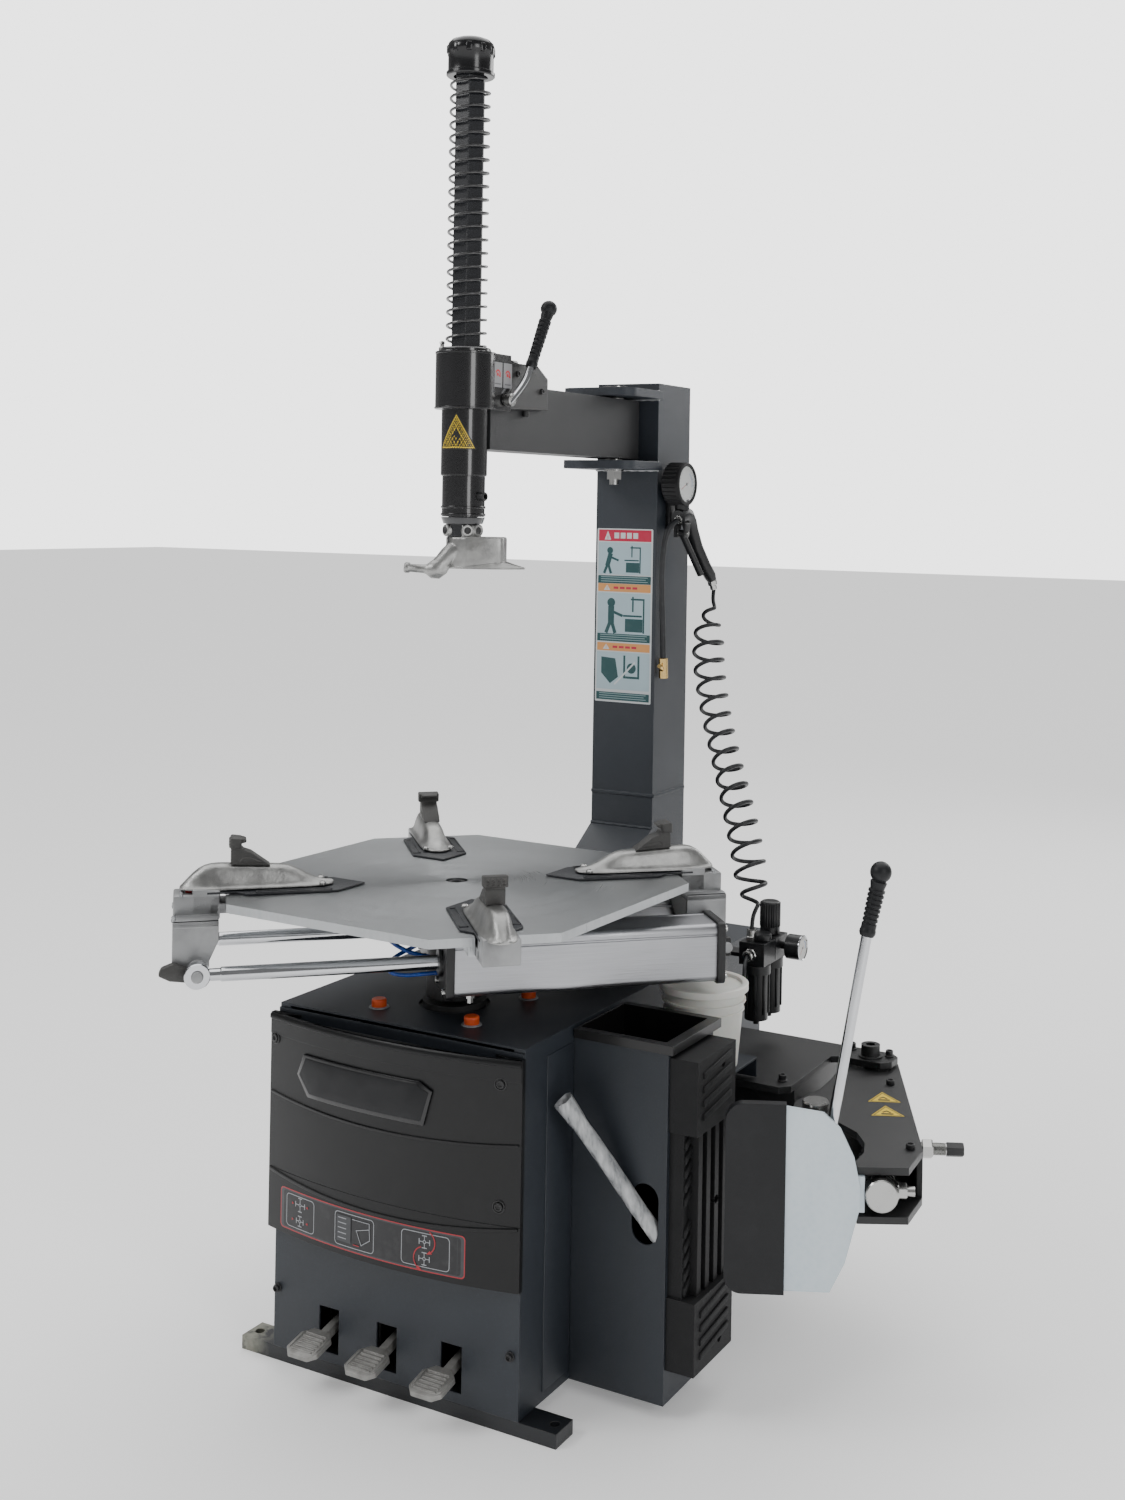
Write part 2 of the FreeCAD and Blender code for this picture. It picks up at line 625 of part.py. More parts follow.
# ---------------------------------------------------------------- column and arm pivot
column_right = column_left + column_size
column_back = column_front + column_size
base_plate = 12.0
column = box(column_left, column_right, column_front, column_back, cabinet_top, column_top)
column = column.cut(box(column_left + column_wall, column_right - column_wall, column_front + column_wall,
                        column_back - column_wall, cabinet_top + base_plate, column_top - column_wall))
flare_front = column_front - 58.0
flare = prism([(column_front, 702), (flare_front, 662), (flare_front, cabinet_top + base_plate),
               (column_front, cabinet_top + base_plate)], column_size, "x", column_left)
foot = box(column_left - 22, column_right + 22, flare_front - 16, cabinet_back - 2, cabinet_top,
           cabinet_top + base_plate)
fork_side = 8.0
fork_left = column_left - fork_side
fork_right = column_right + fork_side
fork_front = column_front - 118
fork_plate = 14.0
arm_top = arm_bottom + arm_height
fork_gap = 4.0
fork_levels = (arm_bottom - fork_gap - fork_plate, arm_top + fork_gap)
column = column.fuse([flare, foot])
for z in fork_levels:
    ear = box(fork_left, fork_right, fork_front, column_front + 2, z, z + fork_plate)
    ear = rounded(ear, 24, lambda e: upright(e) and e.CenterOfMass.y < fork_front + 1)
    ear = ear.cut(rod(pivot_radius + fit, (pivot_x, pivot_y, z - 1), (pivot_x, pivot_y, z + 20)))
    column = column.fuse(ear)
save("column", column.removeSplitter())

pin_low = fork_levels[0] - 26
pin_high = fork_levels[1] + fork_plate
pin = rod(pivot_radius, (pivot_x, pivot_y, pin_low + 10), (pivot_x, pivot_y, pin_high + 1))
head = rod(21, (pivot_x, pivot_y, pin_high), (pivot_x, pivot_y, pin_high + 6))
thread_radius = 8.0
seat = fork_levels[0]
washer = tube(17, pivot_radius - 3, (pivot_x, pivot_y, seat - 3), (pivot_x, pivot_y, seat))
thread = rod(thread_radius, (pivot_x, pivot_y, pin_low), (pivot_x, pivot_y, seat))
nut = hexagon(24, seat - 17, seat - 3, pivot_x, pivot_y)
pin = pin.cut(rod(40, (pivot_x, pivot_y, pin_low), (pivot_x, pivot_y, seat - 3)))
pin = pin.fuse([head, washer, thread, nut])
save("arm_pivot_pin", pin.removeSplitter())

# ---------------------------------------------------------------- swing arm, drawn along +Y then turned
arm_angle = -math.degrees(math.atan2(pivot_x, pivot_y))
arm_reach = math.hypot(pivot_x, pivot_y)
arm_wall = 5.0
sleeve_radius = 34.0
arm_tail = 34.0
arm_chamfer = 7.0


def along_arm(shape):
    return spin(shape, arm_angle)


hw = arm_width / 2
arm_end = arm_reach + arm_tail
arm = prism([(-hw, 20), (hw, 20), (hw, arm_end - arm_chamfer), (hw - arm_chamfer, arm_end),
             (arm_chamfer - hw, arm_end), (-hw, arm_end - arm_chamfer)], arm_height, "z", arm_bottom)
arm = arm.cut(box(-hw + arm_wall, hw - arm_wall, 10, arm_end - arm_chamfer - arm_wall, arm_bottom + arm_wall,
                  arm_top - arm_wall))
arm = arm.fuse(rod(pivot_radius + 9, (0, arm_reach, arm_bottom), (0, arm_reach, arm_top)))
arm = arm.cut(rod(pivot_radius + fit, (0, arm_reach, arm_bottom - 1), (0, arm_reach, arm_top + 1)))
sleeve_low = 1297.0
housing_low = 1394.0
hex_bore = hex_flats + 2 * pin_gap
arm = arm.cut(rod(sleeve_radius, (0, 0, arm_bottom - 5), (0, 0, arm_top + 5)))
save("swing_arm", along_arm(arm.removeSplitter()))

sleeve = rod(sleeve_radius, (0, 0, sleeve_low), (0, 0, housing_low))
collar = rod(31.5, (0, 0, 1236), (0, 0, sleeve_low))
sleeve = sleeve.fuse(collar)
sleeve = sleeve.cut(hexagon(hex_bore, 1200, 1500))
save("guide_sleeve", along_arm(sleeve.removeSplitter()))

head_radius = 44.0
head_high = 1478.0
block_half = hw + 9
head_body = rod(head_radius, (0, 0, housing_low), (0, 0, head_high))
block_end = 60.0
block = box(-block_half, block_half, 0, block_end, housing_low, head_high)
saddle = box(-hw - gap, hw + gap, 10, block_end + 1, housing_low - 1, arm_top + gap)
saddle = saddle.cut(rod(sleeve_radius - gap, (0, 0, housing_low - 2), (0, 0, arm_top + 2)))
head_body = head_body.fuse(block).cut(saddle)
head_body = head_body.cut(rod(40, (0, 0, housing_low - 1), (0, 0, housing_low)))
neck = rod(33, (0, 0, head_high), (0, 0, spring_bottom))
head_body = head_body.fuse(neck).cut(hexagon(hex_bore, 1380, 1500))
lever_y = 46.0
lever_z = 1411.0
stem_radius = 7.0
stem_in = hw + gap
head_body = head_body.cut(rod(stem_radius + pin_gap, (stem_in - 1, lever_y, lever_z),
                              (80, lever_y, lever_z)))
save("arm_housing", along_arm(head_body.removeSplitter()))

cover_end = 165.0
cover_high = head_high - 10
cover = prism([(block_end + gap, housing_low + 4), (cover_end, housing_low + 8),
               (cover_end, cover_high - 18), (cover_end - 30, cover_high), (block_end + gap, cover_high)],
              2 * block_half, "x", -block_half)
cover = cover.cut(box(-hw - gap, hw + gap, block_end - 1, cover_end + 1, housing_low - 1, arm_top + gap))
save("lock_cover", along_arm(cover))

# lock lever on the right flank of the housing
lever_x = block_half + gap
stem = rod(stem_radius, (stem_in, lever_y, lever_z), (lever_x + 14, lever_y, lever_z))
blade_low = Vector(lever_x + 10, lever_y, lever_z)
blade_mid = Vector(lever_x + 12, lever_y + 38, lever_z + 36)
grip_low = Vector(lever_x + 12, lever_y + 50, lever_z + 54)
grip_high = Vector(lever_x + 12, lever_y + 98, lever_z + 146)


def link_bar(radius, a, b):
    return Part.makeCylinder(radius, (b - a).Length, a, b - a)


shank = fuse(stem, link_bar(5, blade_low, blade_mid), Part.makeSphere(5, blade_mid),
             Part.makeSphere(5, blade_low), link_bar(5, blade_mid, grip_low))
grip = link_bar(9.5, grip_low, grip_high).fuse(Part.makeSphere(13, grip_high))
save("lock_lever", along_arm(shank), along_arm(grip.removeSplitter()))

# ---------------------------------------------------------------- hexagonal shaft, spring, cap, mount head
shaft_low = 1188.0
save("hex_shaft", along_arm(hexagon(hex_flats, shaft_low, shaft_top)))
cap_radius = 36.0
cap_shape = rod(cap_radius, (0, 0, spring_top), (0, 0, 1943))
cap_shape = rounded(cap_shape, 9, lambda e: e.CenterOfMass.z > 1942 and len(e.Vertexes) == 1)
cap_shape = cap_shape.cut(hexagon(hex_flats + 2 * fit, spring_top - 1, shaft_top))
save("shaft_cap", along_arm(cap_shape))

pitch = (spring_top - spring_bottom - 2 * spring_wire) / spring_turns
helix = Part.makeHelix(pitch, pitch * spring_turns, spring_radius)
helix.translate(Vector(0, 0, spring_bottom + spring_wire / 2 + 1))
start = helix.Edges[0].firstVertex().Point
climb = Vector(0, 1, pitch / (2 * math.pi * spring_radius))
section = Part.Wire(Part.makeCircle(spring_wire / 2, start, climb))
spring = Part.Wire(helix.Edges).makePipeShell([section], True, True)
save("return_spring", along_arm(spring))

head_top = 1216.0
clamp_low = 1184.0
foot_low = 1152.0
mount_angle = 20.0
clamp = rod(30, (0, 0, clamp_low), (0, 0, 1210)).fuse(rod(30.5, (0, 0, 1208), (0, 0, head_top)))
body = rod(26, (0, 0, foot_low + 10), (0, 0, clamp_low))
wing = prism([(0, -22), (58, -24), (84, -12), (100, 4), (84, 16), (40, 20), (0, 22)], 8, "z", 1160)
web = box(0, 52, -16, 10, 1162, 1202)
knuckle = Vector(-44, -22, foot_low + 13)
finger = rod(13, (0, -6, 1176), tuple(knuckle)).fuse(Part.makeSphere(15, knuckle))
finger = finger.fuse(rod(5.5, (-44, -22, foot_low + 12), (-92, -34, foot_low + 4)))
hex_seat = hexagon(hex_flats + 2 * fit, shaft_low - 1, head_top + 1, turn=arm_angle - mount_angle)
mount = fuse(clamp, body, wing, web, finger).cut(hex_seat)
save("mount_head", spin(mount, mount_angle))

# ---------------------------------------------------------------- bead breaker
ear_gap = 4.0
support_top = bead_arm_top + ear_gap + plate
support_low = bead_arm_bottom - ear_gap - plate
support_back = 508.0
support_front = 270.0
wall_front = 312.0
web = 8.0
outline = [(cabinet_right, support_front), (404, support_front), (418, 284), (418, 444), (430, 452),
           (498, 452), (512, 466), (512, 494), (498, support_back), (cabinet_right, support_back)]
beams = [prism(outline, plate, "z", z) for z in (support_top - plate, support_low)]
beams.append(box(cabinet_right, 412, support_back - web, support_back, support_low, support_top))
beams.append(box(cabinet_right, 412, wall_front, wall_front + web, support_low, support_top))
beams.append(box(cabinet_right, cabinet_right + web, wall_front, support_back, support_low, support_top))
beams.append(box(412 - web, 412, wall_front, support_back, support_low, support_top))
support = fuse(*beams)
bolt_radius = 10.0


def pivot_rod(radius, z0, z1):
    return rod(radius, (bead_pivot_x, bead_pivot_y, z0), (bead_pivot_x, bead_pivot_y, z1))


support = support.cut(pivot_rod(bolt_radius + fit, 200, 450))
bolt = pivot_rod(bolt_radius, support_low - 12, support_top + 3)
bolt = bolt.fuse([pivot_rod(15, support_top + 3, support_top + 20),
                  pivot_rod(19, support_top, support_top + 3),
                  hexagon(30, support_low - 15, support_low, bead_pivot_x, bead_pivot_y)])
bolt = bolt.cut(hexagon(14, support_top + 10, support_top + 30, bead_pivot_x, bead_pivot_y))
save("bb_support", support, bolt.removeSplitter())


# the arm is drawn with its pivot at the origin, pointing along -Y, then turned to rest
def bead(shape):
    moved = spin(shape, bead_rest_angle)
    moved.translate(Vector(bead_pivot_x, bead_pivot_y, 0))
    return moved


pin_radius = 12.0
arm_outline = [(28, 36), (45, 10), (45, -348), (19, -415), (-50, -418), (-52, -398), (-38, -366),
               (-34, -330), (-42, -290), (-66, -254), (-100, -240), (-122, -226), (-130, -200),
               (-124, -170), (-104, -142), (-86, -118), (-66, -70), (-46, -10), (-28, 36)]
arm_plates = [prism(arm_outline, plate, "z", z) for z in (bead_arm_bottom, bead_arm_top - plate)]
side_web = prism([(45, 10), (45, -348), (37, -346), (37, 10)], bead_arm_top - bead_arm_bottom, "z",
                 bead_arm_bottom)
hub_tube = rod(27, (0, 0, bead_arm_bottom), (0, 0, bead_arm_top))
bead_arm = fuse(*arm_plates, side_web, hub_tube)
bead_arm = bead_arm.cut(rod(bolt_radius + fit, (0, 0, 200), (0, 0, 450)))
pin_place = (bead_pin_across, -bead_pin_along)
bead_arm = bead_arm.cut(rod(pin_radius + fit, (*pin_place, 200), (*pin_place, 450)))
stop_along = 266.0
stop_z = 343.0
bead_arm = bead_arm.cut(rod(9 + fit, (30, -stop_along, stop_z), (60, -stop_along, stop_z)))
save("bb_arm", bead(bead_arm))

link_pin = rod(pin_radius, (*pin_place, bead_arm_bottom), (*pin_place, bead_arm_top + 3))
link_pin = link_pin.fuse(rod(20, (*pin_place, bead_arm_top), (*pin_place, bead_arm_top + 12)))
bar_front = 430.0
bar_back = 300.0
blade_bar = rod(blade_bar_radius, (blade_bar_across, -bar_front, blade_bar_z),
                (blade_bar_across, -bar_back, blade_bar_z))
bolt_along = 407.0
bolt_end = blade_bar_across + 46
blade_bolt = rod(7, (blade_bar_across, -bolt_along, blade_bar_z), (bolt_end, -bolt_along, blade_bar_z))
bolt_head = rod(12, (bolt_end - 22, -bolt_along, blade_bar_z), (bolt_end - 8, -bolt_along, blade_bar_z))
blade_bar = blade_bar.fuse([blade_bolt, bolt_head])
stop_screw = rod(9, (38, -stop_along, stop_z), (112, -stop_along, stop_z))
stop_screw = stop_screw.fuse(rod(14, (54, -stop_along, stop_z), (68, -stop_along, stop_z)))
save("bb_arm_pins", *[bead(s.removeSplitter()) for s in (link_pin, blade_bar, stop_screw)])

blade_thick = 6.0
blade_along = bar_front - blade_thick
blade_left = -225.0
blade_low = 208.0
blade_high = 454.0
cover_edge = -147.0
steel = prism([(blade_left, blade_low + 24), (blade_left, blade_high - 18), (blade_left + 14, blade_high),
               (-147, blade_high), (-96, 447), (-74, 427), (-55, 388), (-47, 350), (-47, 322), (-66, 248),
               (-86, blade_low), (blade_left + 30, blade_low)], blade_thick, "y", -bar_front)
lug_back = bar_front - 54
lug_right = blade_bar_across - blade_bar_radius - gap
lug = box(lug_right - 30, lug_right, -blade_along, -lug_back, blade_bar_z - 24, blade_bar_z + 24)
blade_rib = box(-150, lug_right - 30, -blade_along, -blade_along + 14, blade_bar_z - 24, blade_bar_z + 24)
socket = box(-98, -72, -blade_along, -blade_along + 26, 374, 404)
save("bb_blade", bead(fuse(steel, lug, blade_rib, socket)))

cover_wall = 4.0
plastic = box(blade_left - 3, cover_edge, -bar_front - cover_wall, -blade_along + cover_wall, blade_low - 4,
              blade_high + 4)
plastic = rounded(plastic, 24, lambda e: abs(e.firstVertex().Point.y - e.lastVertex().Point.y) > 5
                  and e.CenterOfMass.x < blade_left)
save("bb_blade_cover", bead(plastic.cut(steel).cut(blade_rib)))

hand_y = -blade_along + 13
handle_points = [Vector(-86, hand_y, 380), Vector(-84, hand_y, 430), Vector(-41, hand_y + 12, 680)]
handle = fuse(link_bar(7.5, handle_points[0], handle_points[1]), Part.makeSphere(7.5, handle_points[1]),
              link_bar(7.5, handle_points[1], handle_points[2])).cut(socket)
grip_end = Vector(-23, hand_y + 16, 764)
hand_grip = link_bar(12, handle_points[2], grip_end).fuse(Part.makeSphere(15, grip_end))
save("bb_handle", bead(handle), bead(hand_grip.removeSplitter()))

# cylinder inside the cabinet that pulls the arm; it swings on a pin at its left end
tail_x = -150.0
tail_y = 262.0
bead_rod_z = (bead_arm_bottom + bead_arm_top) / 2
rest = math.radians(bead_rest_angle)
bead_pin_x = bead_pivot_x + bead_pin_across * math.cos(rest) + bead_pin_along * math.sin(rest)
bead_pin_y = bead_pivot_y + bead_pin_across * math.sin(rest) - bead_pin_along * math.cos(rest)
swing = math.degrees(math.atan2(bead_pin_y - tail_y, bead_pin_x - tail_x))
pin_distance = math.hypot(bead_pin_x - tail_x, bead_pin_y - tail_y)
barrel_radius = 85.0
barrel_start = 26.0
barrel_end = 200.0
barrel = tube(barrel_radius, barrel_radius - 4, (barrel_start, 0, 0), (barrel_end, 0, 0))
ends = [rod(barrel_radius, (barrel_start - 8, 0, 0), (barrel_start, 0, 0)),
        tube(barrel_radius, 11 + pin_gap, (barrel_end, 0, 0), (barrel_end + 10, 0, 0))]
tail = box(-14, barrel_start - 8, -10, 10, -16, 16).cut(rod(8 + fit, (0, 0, -30), (0, 0, 30)))


def place_cylinder(shape):
    moved = shape.copy()
    moved.rotate(Vector(0, 0, 0), Vector(0, 0, 1), swing)
    moved.translate(Vector(tail_x, tail_y, bead_rod_z))
    return moved


save("bb_cylinder", place_cylinder(fuse(barrel, *ends, tail)))
rod_start = barrel_start + 34
piston = rod(barrel_radius - 4 - pin_gap, (rod_start - 14, 0, 0), (rod_start, 0, 0))
eye_clear = 8.0
eye_outer = 30.0
eye = tube(eye_outer, pin_radius + eye_clear, (pin_distance, 0, -14), (pin_distance, 0, 14))
stem = rod(11, (rod_start, 0, 0), (pin_distance - eye_outer + 5, 0, 0))
save("bb_rod", place_cylinder(fuse(piston, stem, eye)))

# ---------------------------------------------------------------- air service unit on the right rear
frl_x = 292.0
frl_y = (432.0, 482.0)
frl_low = 430.0
frl_mid = 520.0
frl_head = 556.0
unit = box(frl_x - 22, frl_x + 22, frl_y[0] - 22, frl_y[1] + 22, frl_mid, frl_head)
bowls = [rod(19, (frl_x, y, frl_low), (frl_x, y, frl_mid)) for y in frl_y]
bracket = box(cabinet_right, frl_x - 22, frl_y[0] - 10, frl_y[1] - 30, frl_mid + 8, frl_mid + 14)
bracket = bracket.fuse(box(cabinet_right, cabinet_right + 5, frl_y[0] - 10, frl_y[1] + 10,
                           frl_mid - 60, frl_mid - 20))
gauge = rod(20, (frl_x + 34, frl_y[1], 540), (frl_x + 58, frl_y[1], 540))
gauge = gauge.fuse(rod(6, (frl_x + 22, frl_y[1], 540), (frl_x + 34, frl_y[1], 540)))
inlet = rod(9, (frl_x, frl_y[0] - 38, 538), (frl_x, frl_y[0] - 22, 538))
outlet_top = 574.0
outlet = rod(8, (frl_x - 8, frl_y[0] - 4, frl_head), (frl_x - 8, frl_y[0] - 4, outlet_top))
knob_post = rod(6, (frl_x, frl_y[1], frl_head), (frl_x, frl_y[1], frl_head + 40))
unit = fuse(unit, *bowls, gauge, inlet, outlet, knob_post)
knob = tube(17, 6 + pin_gap, (frl_x, frl_y[1], frl_head + 1), (frl_x, frl_y[1], frl_head + 50))
knob = knob.fuse(rod(17, (frl_x, frl_y[1], frl_head + 44), (frl_x, frl_y[1], frl_head + 54)))
save("frl_knob", knob.removeSplitter())

frl_hose_points = [(frl_x, frl_y[0] - 38, 538), (frl_x + 3, 378, 533), (frl_x + 8, 366, 518),
                   (frl_x + 8, 362, 499),
                   (frl_x, 364, 481), (frl_x - 15, 370, 469), (frl_x - 34, 378, 464), (frl_x - 54, 384, 462),
                   (cabinet_right + 12, 388, 462)]
hose_gland = rod(8, (cabinet_right, 388, 462), (cabinet_right + 12, 388, 462))
save("frl_unit", unit, bracket.cut(unit).removeSplitter(), hose_gland)
save("frl_hose", tangent_route(frl_hose_points, 3.0, "frl_hose"))

# ---------------------------------------------------------------- inflator gun on the column
gun_x = column_right + 30
gun_y = 542.0
gauge_y = 526.0
gauge_z = 1295.0
gauge_radius = 37.0
gun_head_z = 1238.0
hook_thick = 8.5
dial = rod(gauge_radius, (column_right + hook_thick, gauge_y, gauge_z), (column_right + 45, gauge_y, gauge_z))
hook = box(column_right, column_right + hook_thick, gun_y - 12, gun_y + 12, 1216, gauge_z + 5)
gun_head = box(gun_x - 13, gun_x + 15, gun_y - 14, gun_y + 26, gun_head_z - 20, gauge_z - 30)
hook = hook.cut(gun_head)
hose_exit = (gun_x, gun_y - 26, gun_head_z - 6)
nozzle = rod(7, (gun_x, gun_y - 12, gun_head_z - 6), hose_exit)
handle_top = Vector(gun_x + 2, gun_y + 12, gun_head_z - 16)
handle_low = Vector(gun_x + 18, gun_y + 74, 1132)
gun_handle = link_bar(11, handle_top, handle_low)
gun_foot = Vector(gun_x + 20, gun_y + 82, 1110)
gun_tail = link_bar(6.5, handle_low, gun_foot)
pin_x = gun_x + 4
pin_y = gun_y - 14
pin_z = gun_head_z - 28
trigger_top = Vector(pin_x, pin_y, pin_z)
trigger_low = Vector(gun_x + 16, gun_y + 36, 1138)
trigger_pin = 2.5
trigger = link_bar(6, trigger_top, trigger_low)
trigger = trigger.fuse(rod(6, (pin_x - 5, pin_y, pin_z), (pin_x + 5, pin_y, pin_z)))
bore = rod(trigger_pin + pin_gap, (pin_x - 20, pin_y, pin_z), (pin_x + 20, pin_y, pin_z))
save("inflator_trigger", trigger.cut(bore))
ears = [rod(trigger_pin, (pin_x - 11, pin_y, pin_z), (pin_x + 11, pin_y, pin_z))]
for x in (pin_x - 11, pin_x + 7):
    ears.append(box(x, x + 4, pin_y - 5, pin_y + 5, pin_z - 5, gun_head_z - 18))
save("inflator_gun", fuse(dial, gun_head, nozzle, gun_handle, gun_tail, *ears), hook)

hose_x = column_right + 10
inflator_points = [hose_exit, (gun_x - 6, gun_y - 40, 1224), (gun_x - 11, gun_y - 48, 1202),
                   (gun_x - 15, gun_y - 48, 1174),
                   (gun_x - 18, gun_y - 45, 1140), (hose_x, gun_y - 40, 1102), (hose_x, gun_y - 36, 1064),
                   (hose_x, gun_y - 33, 1028), (hose_x, gun_y - 31, 994)]
save("inflator_hose", tangent_route(inflator_points, 5.0, "inflator_hose"))
chuck_top = Vector(*inflator_points[-1])
chuck_way = (Vector(*inflator_points[-1]) - Vector(*inflator_points[-2])).normalize()
chuck = Part.makeCylinder(8, 34, chuck_top, chuck_way)
chuck_mid = chuck_top + chuck_way * 22
chuck = chuck.fuse(link_bar(4, chuck_mid, chuck_mid + Vector(2, -18, 10)))
save("air_chuck", chuck.removeSplitter())

# curly hose from the service unit up to the gun: one plain tube of its outer diameter
coil_radius = 28.0
coil_points = [(frl_x - 8, frl_y[0] - 4, outlet_top), (frl_x - 12, frl_y[0] + 6, 636),
               (frl_x - 34, frl_y[0] + 26, 700), (frl_x - 64, frl_y[0] + 52, 762),
               (frl_x - 100, frl_y[0] + 84, 826),
               (frl_x - 134, frl_y[0] + 112, 894), (frl_x - 160, frl_y[0] + 134, 966),
               (frl_x - 178, frl_y[0] + 160, 1040), tuple(gun_foot)]
save("coil_hose", tangent_route(coil_points, coil_radius, "coil_hose"))
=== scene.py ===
import json
import math
import bpy
import bmesh
from mathutils import Matrix, Vector
from mathutils.geometry import tessellate_polygon

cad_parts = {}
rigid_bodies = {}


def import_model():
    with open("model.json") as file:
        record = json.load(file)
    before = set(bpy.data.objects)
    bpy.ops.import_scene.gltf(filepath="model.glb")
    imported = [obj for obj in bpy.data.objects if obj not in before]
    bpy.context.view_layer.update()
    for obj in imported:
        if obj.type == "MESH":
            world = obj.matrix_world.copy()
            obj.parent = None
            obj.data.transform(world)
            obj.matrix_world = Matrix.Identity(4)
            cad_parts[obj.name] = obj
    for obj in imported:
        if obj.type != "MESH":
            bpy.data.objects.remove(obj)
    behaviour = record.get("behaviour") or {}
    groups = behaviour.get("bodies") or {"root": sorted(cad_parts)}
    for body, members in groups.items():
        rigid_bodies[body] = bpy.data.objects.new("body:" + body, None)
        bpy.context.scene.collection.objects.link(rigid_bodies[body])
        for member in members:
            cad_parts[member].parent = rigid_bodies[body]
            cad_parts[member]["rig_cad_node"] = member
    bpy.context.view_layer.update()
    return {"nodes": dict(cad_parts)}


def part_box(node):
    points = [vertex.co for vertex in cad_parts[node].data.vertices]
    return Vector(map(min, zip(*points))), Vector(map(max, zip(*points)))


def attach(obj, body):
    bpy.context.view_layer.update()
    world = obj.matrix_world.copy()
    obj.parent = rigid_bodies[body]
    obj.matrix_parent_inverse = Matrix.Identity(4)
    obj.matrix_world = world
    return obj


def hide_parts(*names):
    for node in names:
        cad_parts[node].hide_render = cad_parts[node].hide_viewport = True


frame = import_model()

nodes = frame["nodes"]

# ---- Camera
# A standing person's eye, to the right of the machine and in front of it, turned almost level.
eye = Vector((1.4149, -2.0593, 1.2565))
heading, tilt, roll = (math.radians(angle) for angle in (27.913, -0.3759, 0.9508))
ahead = Vector((-math.sin(heading) * math.cos(tilt), math.cos(heading) * math.cos(tilt), -math.sin(tilt)))
level = Vector((math.cos(heading), math.sin(heading), 0))
over = level.cross(ahead)
right = level * math.cos(roll) + over * math.sin(roll)
upward = over * math.cos(roll) - level * math.sin(roll)
camera = bpy.data.objects.new("camera", bpy.data.cameras.new("camera"))
camera.matrix_world = Matrix.Translation(eye) @ Matrix((right, upward, -ahead)).transposed().to_4x4()
camera.data.lens = 40.33
camera.data.shift_x = -0.0632
camera.data.shift_y = -0.170
bpy.context.scene.collection.objects.link(camera)
bpy.context.scene.camera = camera


# ---- Air hoses
# Black polyurethane hose: a curly one from the service unit up to the inflator gun, a straight one
# that hangs from the gun to its brass chuck, and a short one from the cabinet into the service unit.
class Signal:
    """The output of a node. Sums on it add Math nodes to its finish."""

    def __init__(self, finish, socket):
        self.finish = finish
        self.socket = socket

    def maths(self, operation, *values):
        return self.finish.node("ShaderNodeMath", {"operation": operation}, dict(enumerate(values)))

    def __add__(self, other):
        return self.maths("ADD", self, other)

    def __sub__(self, other):
        return self.maths("SUBTRACT", self, other)

    def __rsub__(self, other):
        return self.maths("SUBTRACT", other, self)

    def __mul__(self, other):
        return self.maths("MULTIPLY", self, other)

    def __gt__(self, other):
        return self.maths("GREATER_THAN", self, other)

    __radd__ = __add__
    __rmul__ = __mul__

    def within(self, low, high):
        """0 below low, 1 above high, and a straight ramp between."""
        return self.finish.node("ShaderNodeMapRange", {"clamp": True},
            {"Value": self, "From Min": low, "From Max": high})


